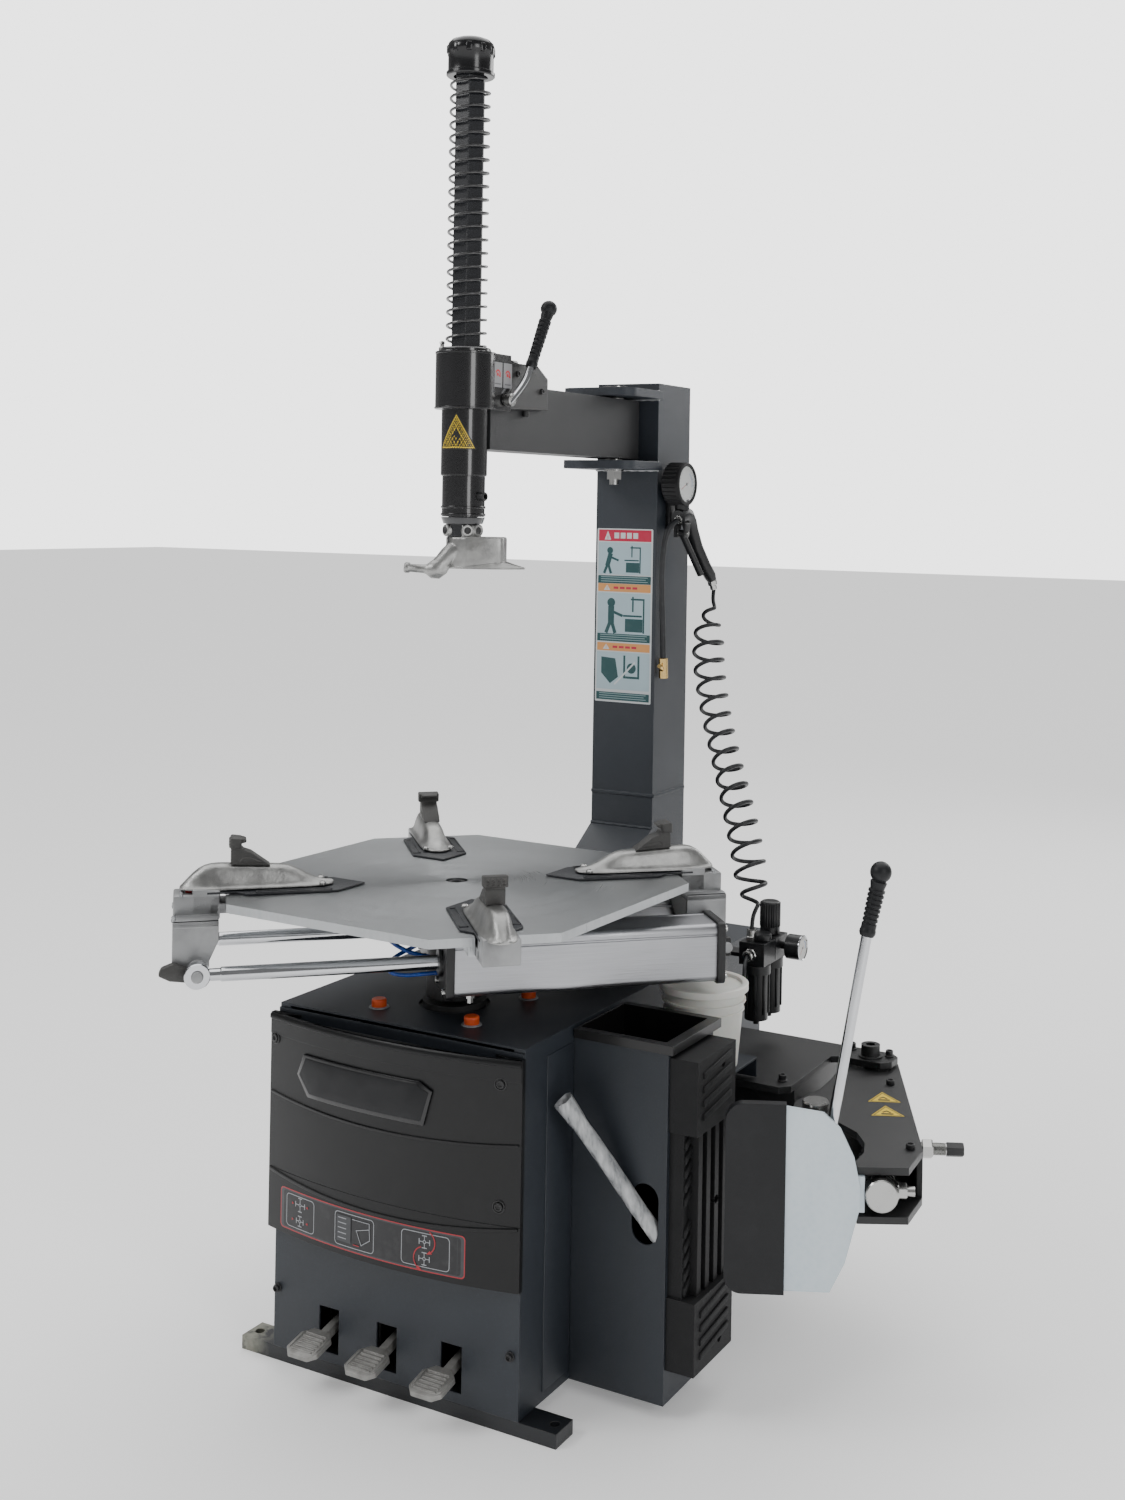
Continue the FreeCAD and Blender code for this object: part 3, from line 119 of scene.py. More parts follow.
class Finish:
    """A surface finish: one material, whose nodes are added as it is described."""

    def __init__(self, name, **fixed):
        self.material = bpy.data.materials.new(name)
        self.material.use_nodes = True
        self.tree = self.material.node_tree
        self.shader = self.tree.nodes["Principled BSDF"]
        self.relief = None
        for socket, value in fixed.items():
            self.shader.inputs[socket.replace("_", " ")].default_value = value

    def node(self, kind, settings=None, sockets=None, out=0):
        made = self.tree.nodes.new(kind)
        for name, value in (settings or {}).items():
            setattr(made, name, value)
        for name, value in (sockets or {}).items():
            if isinstance(value, Signal):
                self.tree.links.new(value.socket, made.inputs[name])
            else:
                made.inputs[name].default_value = value
        return Signal(self, made.outputs[out])

    def place(self, turn=0.0, stretch=(1, 1, 1)):
        """Where a point of the piece is, in metres, turned about Z and stretched."""
        here = self.node("ShaderNodeTexCoord", out=3)
        here = self.node("ShaderNodeVectorRotate", {"rotation_type": "Z_AXIS"},
            {"Vector": here, "Angle": -turn})
        return self.node("ShaderNodeVectorMath", {"operation": "MULTIPLY"}, {0: here, 1: stretch})

    def along(self, axis):
        """One coordinate of a point of the piece, in metres."""
        return self.node("ShaderNodeSeparateXYZ", sockets={0: self.place()}, out="XYZ".index(axis))

    def cloud(self, scale, detail=4.0, turn=0.0, stretch=(1, 1, 1)):
        """Noise from 0 to 1 whose patches are about 1 / scale metres wide."""
        return self.node("ShaderNodeTexNoise",
            sockets={"Vector": self.place(turn, stretch), "Scale": scale, "Detail": detail})

    def blend(self, amount, low, high):
        """One colour, or another, by an amount from 0 to 1."""
        pick = {0: amount}
        for index, colour in ((6, low), (7, high)):
            pick[index] = colour if isinstance(colour, Signal) else (*colour, 1)
        return self.node("ShaderNodeMix", {"data_type": "RGBA"}, pick, out=2)

    def edges(self, radius):
        """0 on flat ground, up to 1 where the piece turns a corner; it also rounds the corner's light."""
        soft = self.node("ShaderNodeBevel", {"samples": 6}, {"Radius": radius})
        flat = self.node("ShaderNodeNewGeometry", out=1)
        match = self.node("ShaderNodeVectorMath", {"operation": "DOT_PRODUCT"}, {0: soft, 1: flat}, out=1)
        self.relief = soft
        return (1 - match).within(0.02, 0.22)

    def bump(self, height, depth):
        """Relief in metres."""
        sockets = {"Height": height, "Distance": depth}
        if self.relief:
            sockets["Normal"] = self.relief
        self.relief = self.node("ShaderNodeBump", sockets=sockets)

    def surface(self, **inputs):
        """Links the shader's own inputs, and the relief that bump() and edges() made."""
        if self.relief:
            inputs["Normal"] = self.relief
        for socket, value in inputs.items():
            self.tree.links.new(value.socket, self.shader.inputs[socket.replace("_", " ")])
        return self


def wear(piece, finish):
    """Gives a piece its finish."""
    if piece.get("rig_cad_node"):
        for held in piece.material_slots:
            held.material = finish.material
    else:
        piece.data.materials.append(finish.material)
    return piece


def hose_skin(name, colour, roughness):
    finish = Finish(name, Specular_IOR_Level=0.45)
    scuffs = finish.cloud(90, 6).within(0.55, 0.8)
    finish.bump(finish.cloud(900), 0.0001)
    return finish.surface(Base_Color=finish.blend(scuffs, colour, [c * 2.2 + 0.01 for c in colour]),
        Roughness=finish.cloud(60).within(0, 1) * 0.2 + roughness)


def strand(name, points, radius):
    """A curve of one smooth spline with these points as its control points."""
    curve = bpy.data.curves.new(name, "CURVE")
    curve.dimensions = "3D"
    curve.resolution_u = 12
    curve.bevel_depth = 1 if radius else 0
    curve.bevel_resolution = 5
    curve.use_fill_caps = True
    spline = curve.splines.new("NURBS")
    spline.points.add(len(points) - 1)
    for control, point in zip(spline.points, points):
        control.co = (*point, 1)
        control.radius = radius
    spline.order_u = 3
    spline.use_endpoint_u = True
    made = bpy.data.objects.new(name, curve)
    bpy.context.scene.collection.objects.link(made)
    return made


def line_of(curve_object):
    """The points of a curve's own line, and the length along it at each."""
    bpy.context.view_layer.update()
    mesh = bpy.data.meshes.new_from_object(curve_object)
    points = [v.co.copy() for v in mesh.vertices]
    lengths = [0.0]
    for a, b in zip(points, points[1:]):
        lengths.append(lengths[-1] + (b - a).length)
    return points, lengths


hose_black = hose_skin("black_hose", (0.012, 0.013, 0.015), 0.3)

coil_route = [(0.284, 0.428, 0.574), (0.280, 0.438, 0.636), (0.258, 0.458, 0.700), (0.228, 0.484, 0.762),
    (0.192, 0.516, 0.826), (0.158, 0.544, 0.894), (0.132, 0.566, 0.966), (0.114, 0.592, 1.040),
    (0.110, 0.624, 1.110)]
coil_turns = 16
coil_points_a_turn = 14
coil_radius = 0.0245
coil_wire = 0.0034
coil_guide = strand("coil_guide", coil_route, 0.0)
guide_points, guide_lengths = line_of(coil_guide)
bpy.data.objects.remove(coil_guide)
coil_end = 0.035
coil_length = guide_lengths[-1]


def on_guide(distance):
    """The point and direction of the guide at a distance along it."""
    k = max(i for i, l in enumerate(guide_lengths[:-1]) if l <= distance)
    step = guide_points[k + 1] - guide_points[k]
    return guide_points[k] + step.normalized() * (distance - guide_lengths[k]), step.normalized()


helix = [on_guide(0)[0], on_guide(coil_end * 0.5)[0]]
for k in range(coil_turns * coil_points_a_turn + 1):
    share = k / (coil_turns * coil_points_a_turn)
    centre, way = on_guide(coil_end + share * (coil_length - 2 * coil_end))
    across = way.cross(Vector((0, -1, 0))).normalized()
    other = way.cross(across)
    angle = 2 * math.pi * k / coil_points_a_turn
    swell = coil_radius * min(1, 0.35 + 9 * share, 0.3 + 7 * (1 - share)) * (1 + 0.05 * math.sin(9 * share))
    helix.append(centre + (across * math.cos(angle) + other * math.sin(angle)) * swell)
helix += [on_guide(coil_length - coil_end * 0.5)[0], guide_points[-1]]
coil_hose = strand("curly_hose", helix, coil_wire)
wear(coil_hose, hose_black)
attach(coil_hose, "frame")
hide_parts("coil_hose")
coil_hose.data.bevel_depth = 0
hose_run = line_of(coil_hose)[1][-1]
coil_hose.data.bevel_depth = 1

chuck_route = [(0.090, 0.516, 1.232), (0.084, 0.502, 1.224), (0.079, 0.494, 1.202), (0.075, 0.494, 1.174),
    (0.072, 0.497, 1.140), (0.070, 0.502, 1.102), (0.070, 0.506, 1.064), (0.070, 0.509, 1.028),
    (0.070, 0.511, 0.994)]
chuck_hose = strand("chuck_hose", chuck_route, 0.005)
wear(chuck_hose, hose_black)
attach(chuck_hose, "frame")
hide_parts("inflator_hose")

feed_route = [(0.292, 0.394, 0.538), (0.295, 0.378, 0.533), (0.300, 0.366, 0.518), (0.300, 0.362, 0.499),
    (0.292, 0.364, 0.481), (0.277, 0.370, 0.469), (0.258, 0.378, 0.464), (0.238, 0.384, 0.462),
    (0.217, 0.388, 0.462)]
feed_hose = strand("feed_hose", feed_route, 0.003)
wear(feed_hose, hose_black)
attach(feed_hose, "frame")
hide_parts("frl_hose")


# ---- Cabinet
# Folded 3 mm sheet steel, welded and powder coated dark blue grey. The coat is finely pebbled and
# is rubbed through to a paler grey along its edges. The front plate and a side panel are screwed on.
def powder_coat(name, colour, worn, roughness=0.42, rub=0.5):
    finish = Finish(name)
    edge = finish.edges(0.0016)
    rubbed = edge * finish.cloud(38, 5).within(0.42, 0.66) * rub
    tone = finish.cloud(3.5, 3).within(0.3, 0.7)
    dust = finish.cloud(420, 2).within(0.56, 0.74) * 0.22
    finish.bump(finish.cloud(1500, 2), 0.00035)
    base = finish.blend(tone, [c * 0.86 for c in colour], [c * 1.16 for c in colour])
    base = finish.blend(dust, base, [c * 2.4 for c in colour])
    return finish.surface(Base_Color=finish.blend(rubbed, base, worn),
        Roughness=tone * 0.06 + finish.cloud(12) * 0.1 + roughness - 0.08)


class Shape:
    """A mesh that grows by turned, pressed and boxed bodies, each set down by a matrix."""

    def __init__(self):
        self.mesh = bmesh.new()

    def take(self, body, place=Matrix(), bevel=0.0, segments=2, sharp=25):
        """Rounds a body's sharp edges and adds it."""
        bmesh.ops.recalc_face_normals(body, faces=body.faces)
        if bevel:
            corners = [e for e in body.edges if e.is_manifold and e.calc_face_angle(0) > math.radians(sharp)]
            bmesh.ops.bevel(body, geom=corners, offset=bevel, segments=segments, profile=0.5,
                affect="EDGES", clamp_overlap=True)
        body.transform(place)
        held = bpy.data.meshes.new("held")
        body.to_mesh(held)
        body.free()
        self.mesh.from_mesh(held)
        bpy.data.meshes.remove(held)
        return self

    def block(self, low, high, place=Matrix(), bevel=0.001):
        body = bmesh.new()
        low, high = Vector(low), Vector(high)
        size = Matrix.Diagonal((*(high - low), 1))
        bmesh.ops.create_cube(body, size=1, matrix=Matrix.Translation((low + high) / 2) @ size)
        return self.take(body, place, bevel)

    def pressed(self, outline, low, high, place=Matrix(), bevel=0.0, segments=2, sharp=25):
        """An outline in X and Y, raised from low to high along Z."""
        body = bmesh.new()
        face = body.faces.new([body.verts.new((x, y, low)) for x, y in outline])
        rise = bmesh.ops.extrude_face_region(body, geom=[face])
        bmesh.ops.translate(body, vec=(0, 0, high - low),
            verts=[v for v in rise["geom"] if isinstance(v, bmesh.types.BMVert)])
        return self.take(body, place, bevel, segments, sharp)

    def turned(self, profile, place=Matrix(), steps=40):
        """A profile of (radius, height) turned about Z."""
        body = bmesh.new()
        rings = []
        for radius, height in profile:
            if radius < 1e-6:
                rings.append([body.verts.new((0, 0, height))] * steps)
            else:
                rings.append([body.verts.new((radius * math.cos(2 * math.pi * k / steps),
                            radius * math.sin(2 * math.pi * k / steps), height)) for k in range(steps)])
        for lower, higher in zip(rings, rings[1:]):
            for k in range(steps):
                corners = dict.fromkeys((lower[k - 1], lower[k], higher[k], higher[k - 1]))
                if len(corners) > 2:
                    body.faces.new(corners)
        return self.take(body, place)

    def lofted(self, sections, place=Matrix(), bevel=0.0):
        """Closed sections of equal length, joined one after another and closed at both ends."""
        body = bmesh.new()
        rings = [[body.verts.new(point) for point in section] for section in sections]
        for a, b in zip(rings, rings[1:]):
            for k in range(len(a)):
                body.faces.new((a[k - 1], a[k], b[k], b[k - 1]))
        body.faces.new(rings[0])
        body.faces.new(rings[-1])
        return self.take(body, place, bevel)

    def done(self, name, body, finish, slot, replaces=(), crease=32, subdivide=0):
        """Makes the piece, sets its finish and lets it ride on its body."""
        mesh = bpy.data.meshes.new(name)
        self.mesh.to_mesh(mesh)
        self.mesh.free()
        mesh.shade_smooth()
        mesh.set_sharp_from_angle(angle=math.radians(crease))
        made = bpy.data.objects.new(name, mesh)
        bpy.context.scene.collection.objects.link(made)
        if subdivide:
            made.modifiers.new("rounding", "SUBSURF").levels = subdivide
            made.modifiers["rounding"].render_levels = subdivide
        wear(made, finish)
        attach(made, body)
        if replaces:
            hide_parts(*replaces)
        return made


def facing(start, end, spin=0.0):
    """The place of a body drawn along Z, so that it runs from start to end."""
    way = (Vector(end) - Vector(start)).normalized()
    return Matrix.Translation(start) @ way.to_track_quat("Z", "Y").to_matrix().to_4x4() @ Matrix.Rotation(
        spin, 4, "Z")


def bolt_head(shape, place, across, high, socket=True, washer=0.0):
    """A cap screw with a hexagonal socket, or a hexagon head, on a washer."""
    base = 0.0
    if washer:
        shape.turned([(0, 0), (washer, 0), (washer, 0.0012), (washer - 0.0006, 0.0018), (0, 0.0018)], place)
        base = 0.0018
    if socket:
        r, rim = across / 2, across * 0.08
        shape.turned([(0, base), (r, base), (r, base + high - rim), (r - rim, base + high),
                (r * 0.62, base + high), (r * 0.5, base + high * 0.5), (0, base + high * 0.45)], place, 24)
    else:
        r = across / math.sqrt(3)
        shape.turned(
            [(0, base), (r, base), (r, base + high * 0.86), (r * 0.88, base + high), (0, base + high)],
            place, 6)


navy_coat = powder_coat("navy_powder_coat", (0.021, 0.026, 0.034), (0.16, 0.17, 0.18))
for name in ("cabinet_shell", "front_plate", "side_housing", "column"):
    wear(nodes[name], navy_coat)

cabinet_low, cabinet_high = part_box("cabinet_shell")
housing_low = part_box("side_housing")[0]
cabinet_right = housing_low.x
plate_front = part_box("front_plate")[0].y
panel_lift = 0.0012
side_panel = Shape()
side_panel.block((cabinet_right - 0.0004, -0.072, 0.034),
    (cabinet_right + panel_lift, housing_low.y - 0.002, 0.496), bevel=0.0006)
side_panel.done("side_panel", "frame", navy_coat, "powder_coat")

screw_black = powder_coat("blackened_screw", (0.012, 0.012, 0.013), (0.12, 0.12, 0.12), 0.35)
cabinet_screws = Shape()
for x, z in ((-0.2115, 0.1055), (0.1915, 0.1055)):
    bolt_head(cabinet_screws, facing((x, plate_front, z), (x, plate_front - 1, z)), 0.0105, 0.005,
        washer=0.0068)
cabinet_screws.done("front_plate_screws", "frame", screw_black, "black_steel")

# ---- Foot bars
# Two thick flat bars under the cabinet, drilled for floor anchors. Their ends stick out and are
# scraped bare by handling, and the rest is painted with the cabinet.
bar_finish = Finish("scraped_bar")
bar_edge = bar_finish.edges(0.0016)
bar_end = (0 - bar_finish.along("X")).within(0.225, 0.262)
bar_patch = bar_finish.cloud(55, 6)
bar_bare = (bar_end * bar_patch.within(0.36, 0.5) + bar_edge * bar_patch.within(0.44, 0.6) * 0.5).within(0, 1)
bar_finish.bump(bar_finish.cloud(1200, 2), 0.0003)
bar_colour = bar_finish.blend(bar_finish.cloud(9), (0.008, 0.009, 0.011), (0.02, 0.022, 0.026))
bar_metal = bar_finish.blend(bar_finish.cloud(140), (0.16, 0.16, 0.13), (0.36, 0.36, 0.31))
bar_finish.surface(Base_Color=bar_finish.blend(bar_bare, bar_colour, bar_metal), Metallic=bar_bare * 0.7,
    Roughness=bar_bare * 0.1 + 0.36)
wear(nodes["foot_bars"], bar_finish)

cabinet_lips = Shape()
for x0, x1 in ((cabinet_low.x + 0.003, cabinet_low.x + 0.046),
        (cabinet_right - 0.046, cabinet_right - 0.003)):
    cabinet_lips.block((x0, cabinet_low.y + 0.004, cabinet_low.z),
        (x1, cabinet_high.y - 0.004, cabinet_low.z + 0.003))
cabinet_lips.done("cabinet_lips", "frame", navy_coat, "powder_coat")

# ---- Plug caps
# Orange plastic plugs with rounded tops, each on a thin clear washer, over the cabinet's bolt holes.
plug_orange = Finish("orange_plug", Roughness=0.38, Coat_Weight=0.25, Subsurface_Weight=0.05)
plug_tone = plug_orange.cloud(160, 5)
plug_orange.bump(plug_orange.cloud(700), 0.0001)
plug_orange.surface(Base_Color=plug_orange.blend(plug_tone, (0.72, 0.07, 0.012), (0.92, 0.13, 0.02)))
wear(nodes["plug_caps"], plug_orange)
washer_grey = Finish("plug_washer", Roughness=0.35)
washer_grey.bump(washer_grey.cloud(500), 0.0002)
washer_grey.surface(
    Base_Color=washer_grey.blend(washer_grey.cloud(120), (0.16, 0.17, 0.18), (0.38, 0.4, 0.42)))
plug_x, plug_y, plug_z = 0.081, 0.075, cabinet_high.z
plug_washers = Shape()
for x in (-plug_x, plug_x):
    for y in (-plug_y, plug_y):
        plug_washers.turned([(0.0112, 0), (0.0148, 0), (0.0142, 0.0014), (0.0112, 0.0018), (0.0112, 0)],
            Matrix.Translation((x, y, plug_z + 0.0001)))
plug_washers.done("plug_washers", "frame", washer_grey, "white_plastic")


# ---- Fascia
# Bowed covers moulded in black plastic over the top two thirds of the front. Two lap joints droop
# across it, a raised plate with pointed ends sits in the top one, and hexagon-socket screws hold it.
def moulded(name, colour, roughness, grain=1400, depth=0.0002, shine=0.0):
    finish = Finish(name, Coat_Weight=shine, Coat_Roughness=0.18, Specular_IOR_Level=0.3)
    edge = finish.edges(0.0012)
    tone = finish.cloud(6, 3)
    hazy = finish.cloud(30, 6).within(0.5, 0.8) * 0.35
    finish.bump(finish.cloud(grain, 2), depth)
    base = finish.blend(tone, [c * 0.85 for c in colour], [c * 1.2 for c in colour])
    base = finish.blend(hazy, base, [c * 1.9 + 0.002 for c in colour])
    return finish.surface(Base_Color=finish.blend(edge * 0.45, base, [c * 3 + 0.012 for c in colour]),
        Roughness=finish.cloud(14, 5) * 0.14 + roughness - 0.07)


fascia_black = moulded("fascia_plastic", (0.0042, 0.0044, 0.0050), 0.36, shine=0.1)
for name in ("fascia_upper", "fascia_lower"):
    wear(nodes[name], fascia_black)
upper_low, upper_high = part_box("fascia_upper")
nose_y = upper_low.y
bow_rise = 0.026
bow_middle = (upper_low.x + upper_high.x) / 2
bow_half = (upper_high.x - upper_low.x) / 2
bow_radius = (bow_half ** 2 + bow_rise ** 2) / (2 * bow_rise)


def on_bow(x, z, lift=0.0):
    """A point of the bowed front, raised towards the operator."""
    way = Vector((x - bow_middle, -math.sqrt(bow_radius ** 2 - (x - bow_middle) ** 2), 0)).normalized()
    return Vector((bow_middle, nose_y + bow_radius, z)) + way * (bow_radius + lift)


def bowed(shape, outline, low, high, bevel):
    """An outline in X and Z, laid on the bow between two heights above it."""
    body = Shape().pressed(outline, low, high, bevel=bevel).mesh
    bmesh.ops.triangulate(body, faces=body.faces)
    for _ in range(3):
        long = [e for e in body.edges if abs(e.verts[0].co.x - e.verts[1].co.x) > 0.02]
        bmesh.ops.subdivide_edges(body, edges=long, cuts=1)
        bmesh.ops.triangulate(body, faces=body.faces)
    for vert in body.verts:
        vert.co = on_bow(vert.co.x, vert.co.y, vert.co.z)
    return shape.take(body)


def drooping(z_end, droop, x):
    """The height at x of a joint that sinks towards the middle of the bow."""
    return z_end - droop * (1 - ((x - bow_middle) / bow_half) ** 2)


strips = Shape()
for z_end, droop, high in ((0.3965, 0.011, 0.0042), (0.2845, 0.015, 0.0052)):
    stations = [bow_middle + bow_half * (k / 20 - 1) * 0.985 for k in range(41)]
    sections = []
    for x in stations:
        z = drooping(z_end, droop, x)
        sections.append([on_bow(x, z - high, -0.001), on_bow(x, z - high, 0.0016),
                on_bow(x, z - 0.0012, 0.0022), on_bow(x, z, 0.0004), on_bow(x, z, -0.001)])
    strips.lofted(sections)
brow_foot, brow_top, brow_back = upper_high.z - 0.030, upper_high.z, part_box("front_plate")[0].y - 0.0003
brow = []
for k in range(41):
    x = bow_middle + bow_half * (k / 20 - 1) * 0.996
    ring = [on_bow(x, z, lift) for z, lift in ((brow_foot, 0.0012), (brow_top - 0.0095, 0.0012),
            (brow_top - 0.008, 0.0032), (brow_top - 0.003, 0.0032), (brow_top, 0.0005),
            (brow_top, -0.0035))]
    inner = on_bow(x, brow_top - 0.0035, -0.007)
    shelf_y = min(brow_back, inner.y + 0.004)
    ring += [Vector((x, min(inner.y, brow_back - 0.0006), inner.z)), Vector((x, shelf_y, brow_top - 0.017)),
        Vector((x, brow_back, brow_top - 0.010)), Vector((x, brow_back, brow_foot))]
    brow.append(ring)
strips.lofted(brow)
gloss_plastic = moulded("gloss_black_plastic", (0.006, 0.006, 0.007), 0.2, 900, 0.00005, 0.6)
strips.done("fascia_laps", "frame", fascia_black, "black_plastic", crease=45)

plate_outline = [(-0.163, 0.432), (-0.150, 0.463), (0.058, 0.463), (0.0785, 0.452), (0.0655, 0.403),
    (-0.141, 0.403)]
plate_middle = [sum(p[i] for p in plate_outline) / 6 for i in (0, 1)]
face_outline = [tuple(m + (p - m) * s for p, m, s in zip(point, plate_middle, (0.955, 0.83)))
    for point in plate_outline]
badge = Shape()
bowed(badge, plate_outline, -0.001, 0.0036, 0.0012)
badge.done("badge_rim", "frame", gloss_plastic, "black_plastic")
badge = Shape()
bowed(badge, face_outline, 0.002, 0.0046, 0.0008)
badge.done("badge_face", "frame", moulded("badge_plastic", (0.011, 0.0115, 0.013), 0.5), "black_plastic")

fascia_screws = Shape()
for x, z in ((0.178, 0.4745), (0.178, 0.3095), (-0.2145, 0.4725)):
    at = on_bow(x, z)
    out = (at - Vector((bow_middle, nose_y + bow_radius, z))).normalized()
    place = facing(at, at + out)
    fascia_screws.turned(
        [(0.0072, 0.0001), (0.0092, 0.0001), (0.0088, 0.0014), (0.0074, 0.0018), (0.0072, 0.0001)], place)
    bolt_head(fascia_screws, place, 0.0118, 0.0036)
fascia_screws.done("fascia_screws", "frame", screw_black, "black_steel")


ink_lift, ink_film = 0.00012, 0.000012


class Print:
    """Flat shapes printed one over another on a surface. Each outline is in metres on that surface."""

    def __init__(self, on_surface, step=0.01):
        self.on_surface = on_surface
        self.step = step
        self.layers = []

    def area(self, ink, outline):
        self.layers.append((ink, outline))

    def panel(self, ink, left, low, right, high, round_by=0.0):
        corners = []
        for x, z, first in ((right, high, 0), (left, high, 90), (left, low, 180), (right, low, 270)):
            sx, sz = (1 if x == right else -1), (1 if z == high else -1)
            for k in range(5 if round_by else 1):
                angle = math.radians(first + 22.5 * k)
                corners.append((x - sx * round_by + round_by * math.cos(angle),
                        z - sz * round_by + round_by * math.sin(angle)))
        self.area(ink, corners)

    def disc(self, ink, x, z, radius):
        self.area(ink, [(x + radius * math.cos(k * math.pi / 10), z + radius * math.sin(k * math.pi / 10))
                for k in range(20)])

    def stroke(self, ink, points, width):
        for (x0, z0), (x1, z1) in zip(points, points[1:]):
            long = math.hypot(x1 - x0, z1 - z0)
            ux, uz = (x1 - x0) / long * width / 2, (z1 - z0) / long * width / 2
            self.area(ink, [(x0 - ux - uz, z0 - uz + ux), (x0 - ux + uz, z0 - uz - ux),
                    (x1 + ux + uz, z1 + uz - ux), (x1 + ux - uz, z1 + uz + ux)])

    def arrow_arc(self, ink, x, z, radius, start, end, width):
        turns = [math.radians(start + (end - start) * k / 8) for k in range(9)]
        self.stroke(ink, [(x + radius * math.cos(a), z + radius * math.sin(a)) for a in turns], width)
        tip = turns[-1] + math.copysign(0.5, end - start)
        self.area(ink, [(x + (radius + d) * math.cos(a), z + (radius + d) * math.sin(a))
                for d, a in ((width * 1.7, turns[-1]), (0, tip), (-width * 1.7, turns[-1]))])

    def done(self, name, body, finish, slot):
        mesh = bmesh.new()
        inks = mesh.loops.layers.float_color.new("ink")
        for level, (ink, outline) in enumerate(self.layers):
            sheet = bmesh.new()
            verts = [sheet.verts.new((x, z, 0)) for x, z in outline]
            for corners in tessellate_polygon([[Vector((x, z, 0)) for x, z in outline]]):
                sheet.faces.new([verts[k] for k in corners])
            for _ in range(5):
                long = [e for e in sheet.edges if e.calc_length() > self.step]
                if not long:
                    break
                bmesh.ops.subdivide_edges(sheet, edges=long, cuts=1)
                bmesh.ops.triangulate(sheet, faces=sheet.faces)
            placed = {v: mesh.verts.new(self.on_surface(v.co.x, v.co.y, ink_lift + level * ink_film))
                for v in sheet.verts}
            for face in sheet.faces:
                laid = mesh.faces.new([placed[v] for v in face.verts])
                for loop in laid.loops:
                    loop[inks] = (*ink, 1)
            sheet.free()
        data = bpy.data.meshes.new(name)
        mesh.to_mesh(data)
        mesh.free()
        made = bpy.data.objects.new(name, data)
        bpy.context.scene.collection.objects.link(made)
        wear(made, finish)
        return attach(made, body)


printed = Finish("printed_vinyl")
printed_ink = printed.node("ShaderNodeVertexColor", {"layer_name": "ink"})
printed_dull = printed.cloud(70, 5).within(0.5, 0.9) * 0.08
printed.bump(printed.cloud(300, 3), 0.00006)
printed.surface(Base_Color=printed.blend(printed_dull, printed_ink, (0.3, 0.3, 0.3)),
    Roughness=printed.cloud(45) * 0.2 + 0.28)

ink_black = (0.012, 0.012, 0.014)
ink_red = (0.42, 0.02, 0.03)
ink_pale = (0.34, 0.35, 0.37)
ink_grey = (0.045, 0.047, 0.052)


def clamp_sign(sheet, x, z, size, reach):
    """A turntable's four jaws, seen from above, as a cross of strokes round a ring."""
    for k in range(4):
        ux, uz = math.cos(k * math.pi / 2), math.sin(k * math.pi / 2)
        sheet.stroke(ink_pale,
            [(x + ux * size * 0.35, z + uz * size * 0.35), (x + ux * size * reach, z + uz * size * reach)],
            0.0011)
        sheet.stroke(ink_pale, [(x + ux * size * reach - uz * 0.0032, z + uz * size * reach + ux * 0.0032),
                (x + ux * size * reach + uz * 0.0032, z + uz * size * reach - ux * 0.0032)], 0.0014)
    sheet.disc(ink_pale, x, z, size * 0.34)
    sheet.disc(ink_black, x, z, size * 0.2)


pedal_signs = Print(on_bow)
pedal_signs.panel(ink_red, -0.197, 0.204, 0.131, 0.2625, 0.006)
pedal_signs.panel(ink_grey, -0.1955, 0.2055, 0.1295, 0.261, 0.005)
pedal_signs.panel(ink_black, -0.190, 0.2075, 0.1245, 0.259, 0.004)
sign_low, sign_high = 0.2095, 0.2565
for left, side in ((-0.184, 0.058), (-0.0855, 0.071), (0.0315, 0.0765)):
    pedal_signs.panel(ink_pale, left, sign_low, left + side, sign_high, 0.006)
    pedal_signs.panel(ink_black, left + 0.0011, sign_low + 0.0011, left + side - 0.0011, sign_high - 0.0011,
        0.005)
sign_middle = (sign_low + sign_high) / 2
for x, z, reach in ((-0.155, sign_middle + 0.0115, 1.25), (-0.155, sign_middle - 0.0115, 0.95),
        (0.069, sign_middle + 0.0115, 1.1), (0.069, sign_middle - 0.0115, 1.1)):
    clamp_sign(pedal_signs, x, z, 0.0075, reach)
for z in (sign_middle + 0.0115, sign_middle - 0.0115):
    for side in (-1, 1):
        pedal_signs.area(ink_red, [(-0.155 + side * 0.0165, z - 0.002), (-0.155 + side * 0.0165, z + 0.002),
                (-0.155 + side * 0.0125, z)])
pedal_signs.arrow_arc(ink_red, 0.069, sign_middle + 0.0115, 0.0165, 60, -50, 0.0016)
pedal_signs.arrow_arc(ink_red, 0.069, sign_middle - 0.0115, 0.0165, 110, 230, 0.0016)
pedal_signs.panel(ink_grey, -0.081, sign_low + 0.006, -0.055, sign_high - 0.004)
for k in range(5):
    z = sign_low + 0.011 + k * 0.007
    pedal_signs.stroke(ink_pale, [(-0.078, z), (-0.064, z)], 0.0012)
pedal_signs.stroke(ink_pale, [(-0.052, sign_high - 0.006), (-0.022, sign_high - 0.006),
        (-0.022, sign_high - 0.014), (-0.045, sign_high - 0.020), (-0.036, sign_low + 0.008),
        (-0.021, sign_low + 0.018), (-0.022, sign_high - 0.014)], 0.001)
pedal_signs.stroke(ink_red, [(-0.05, sign_low + 0.006), (-0.04, sign_low + 0.006)], 0.0011)
pedal_signs.done("pedal_signs", "frame", printed, "black_plastic")

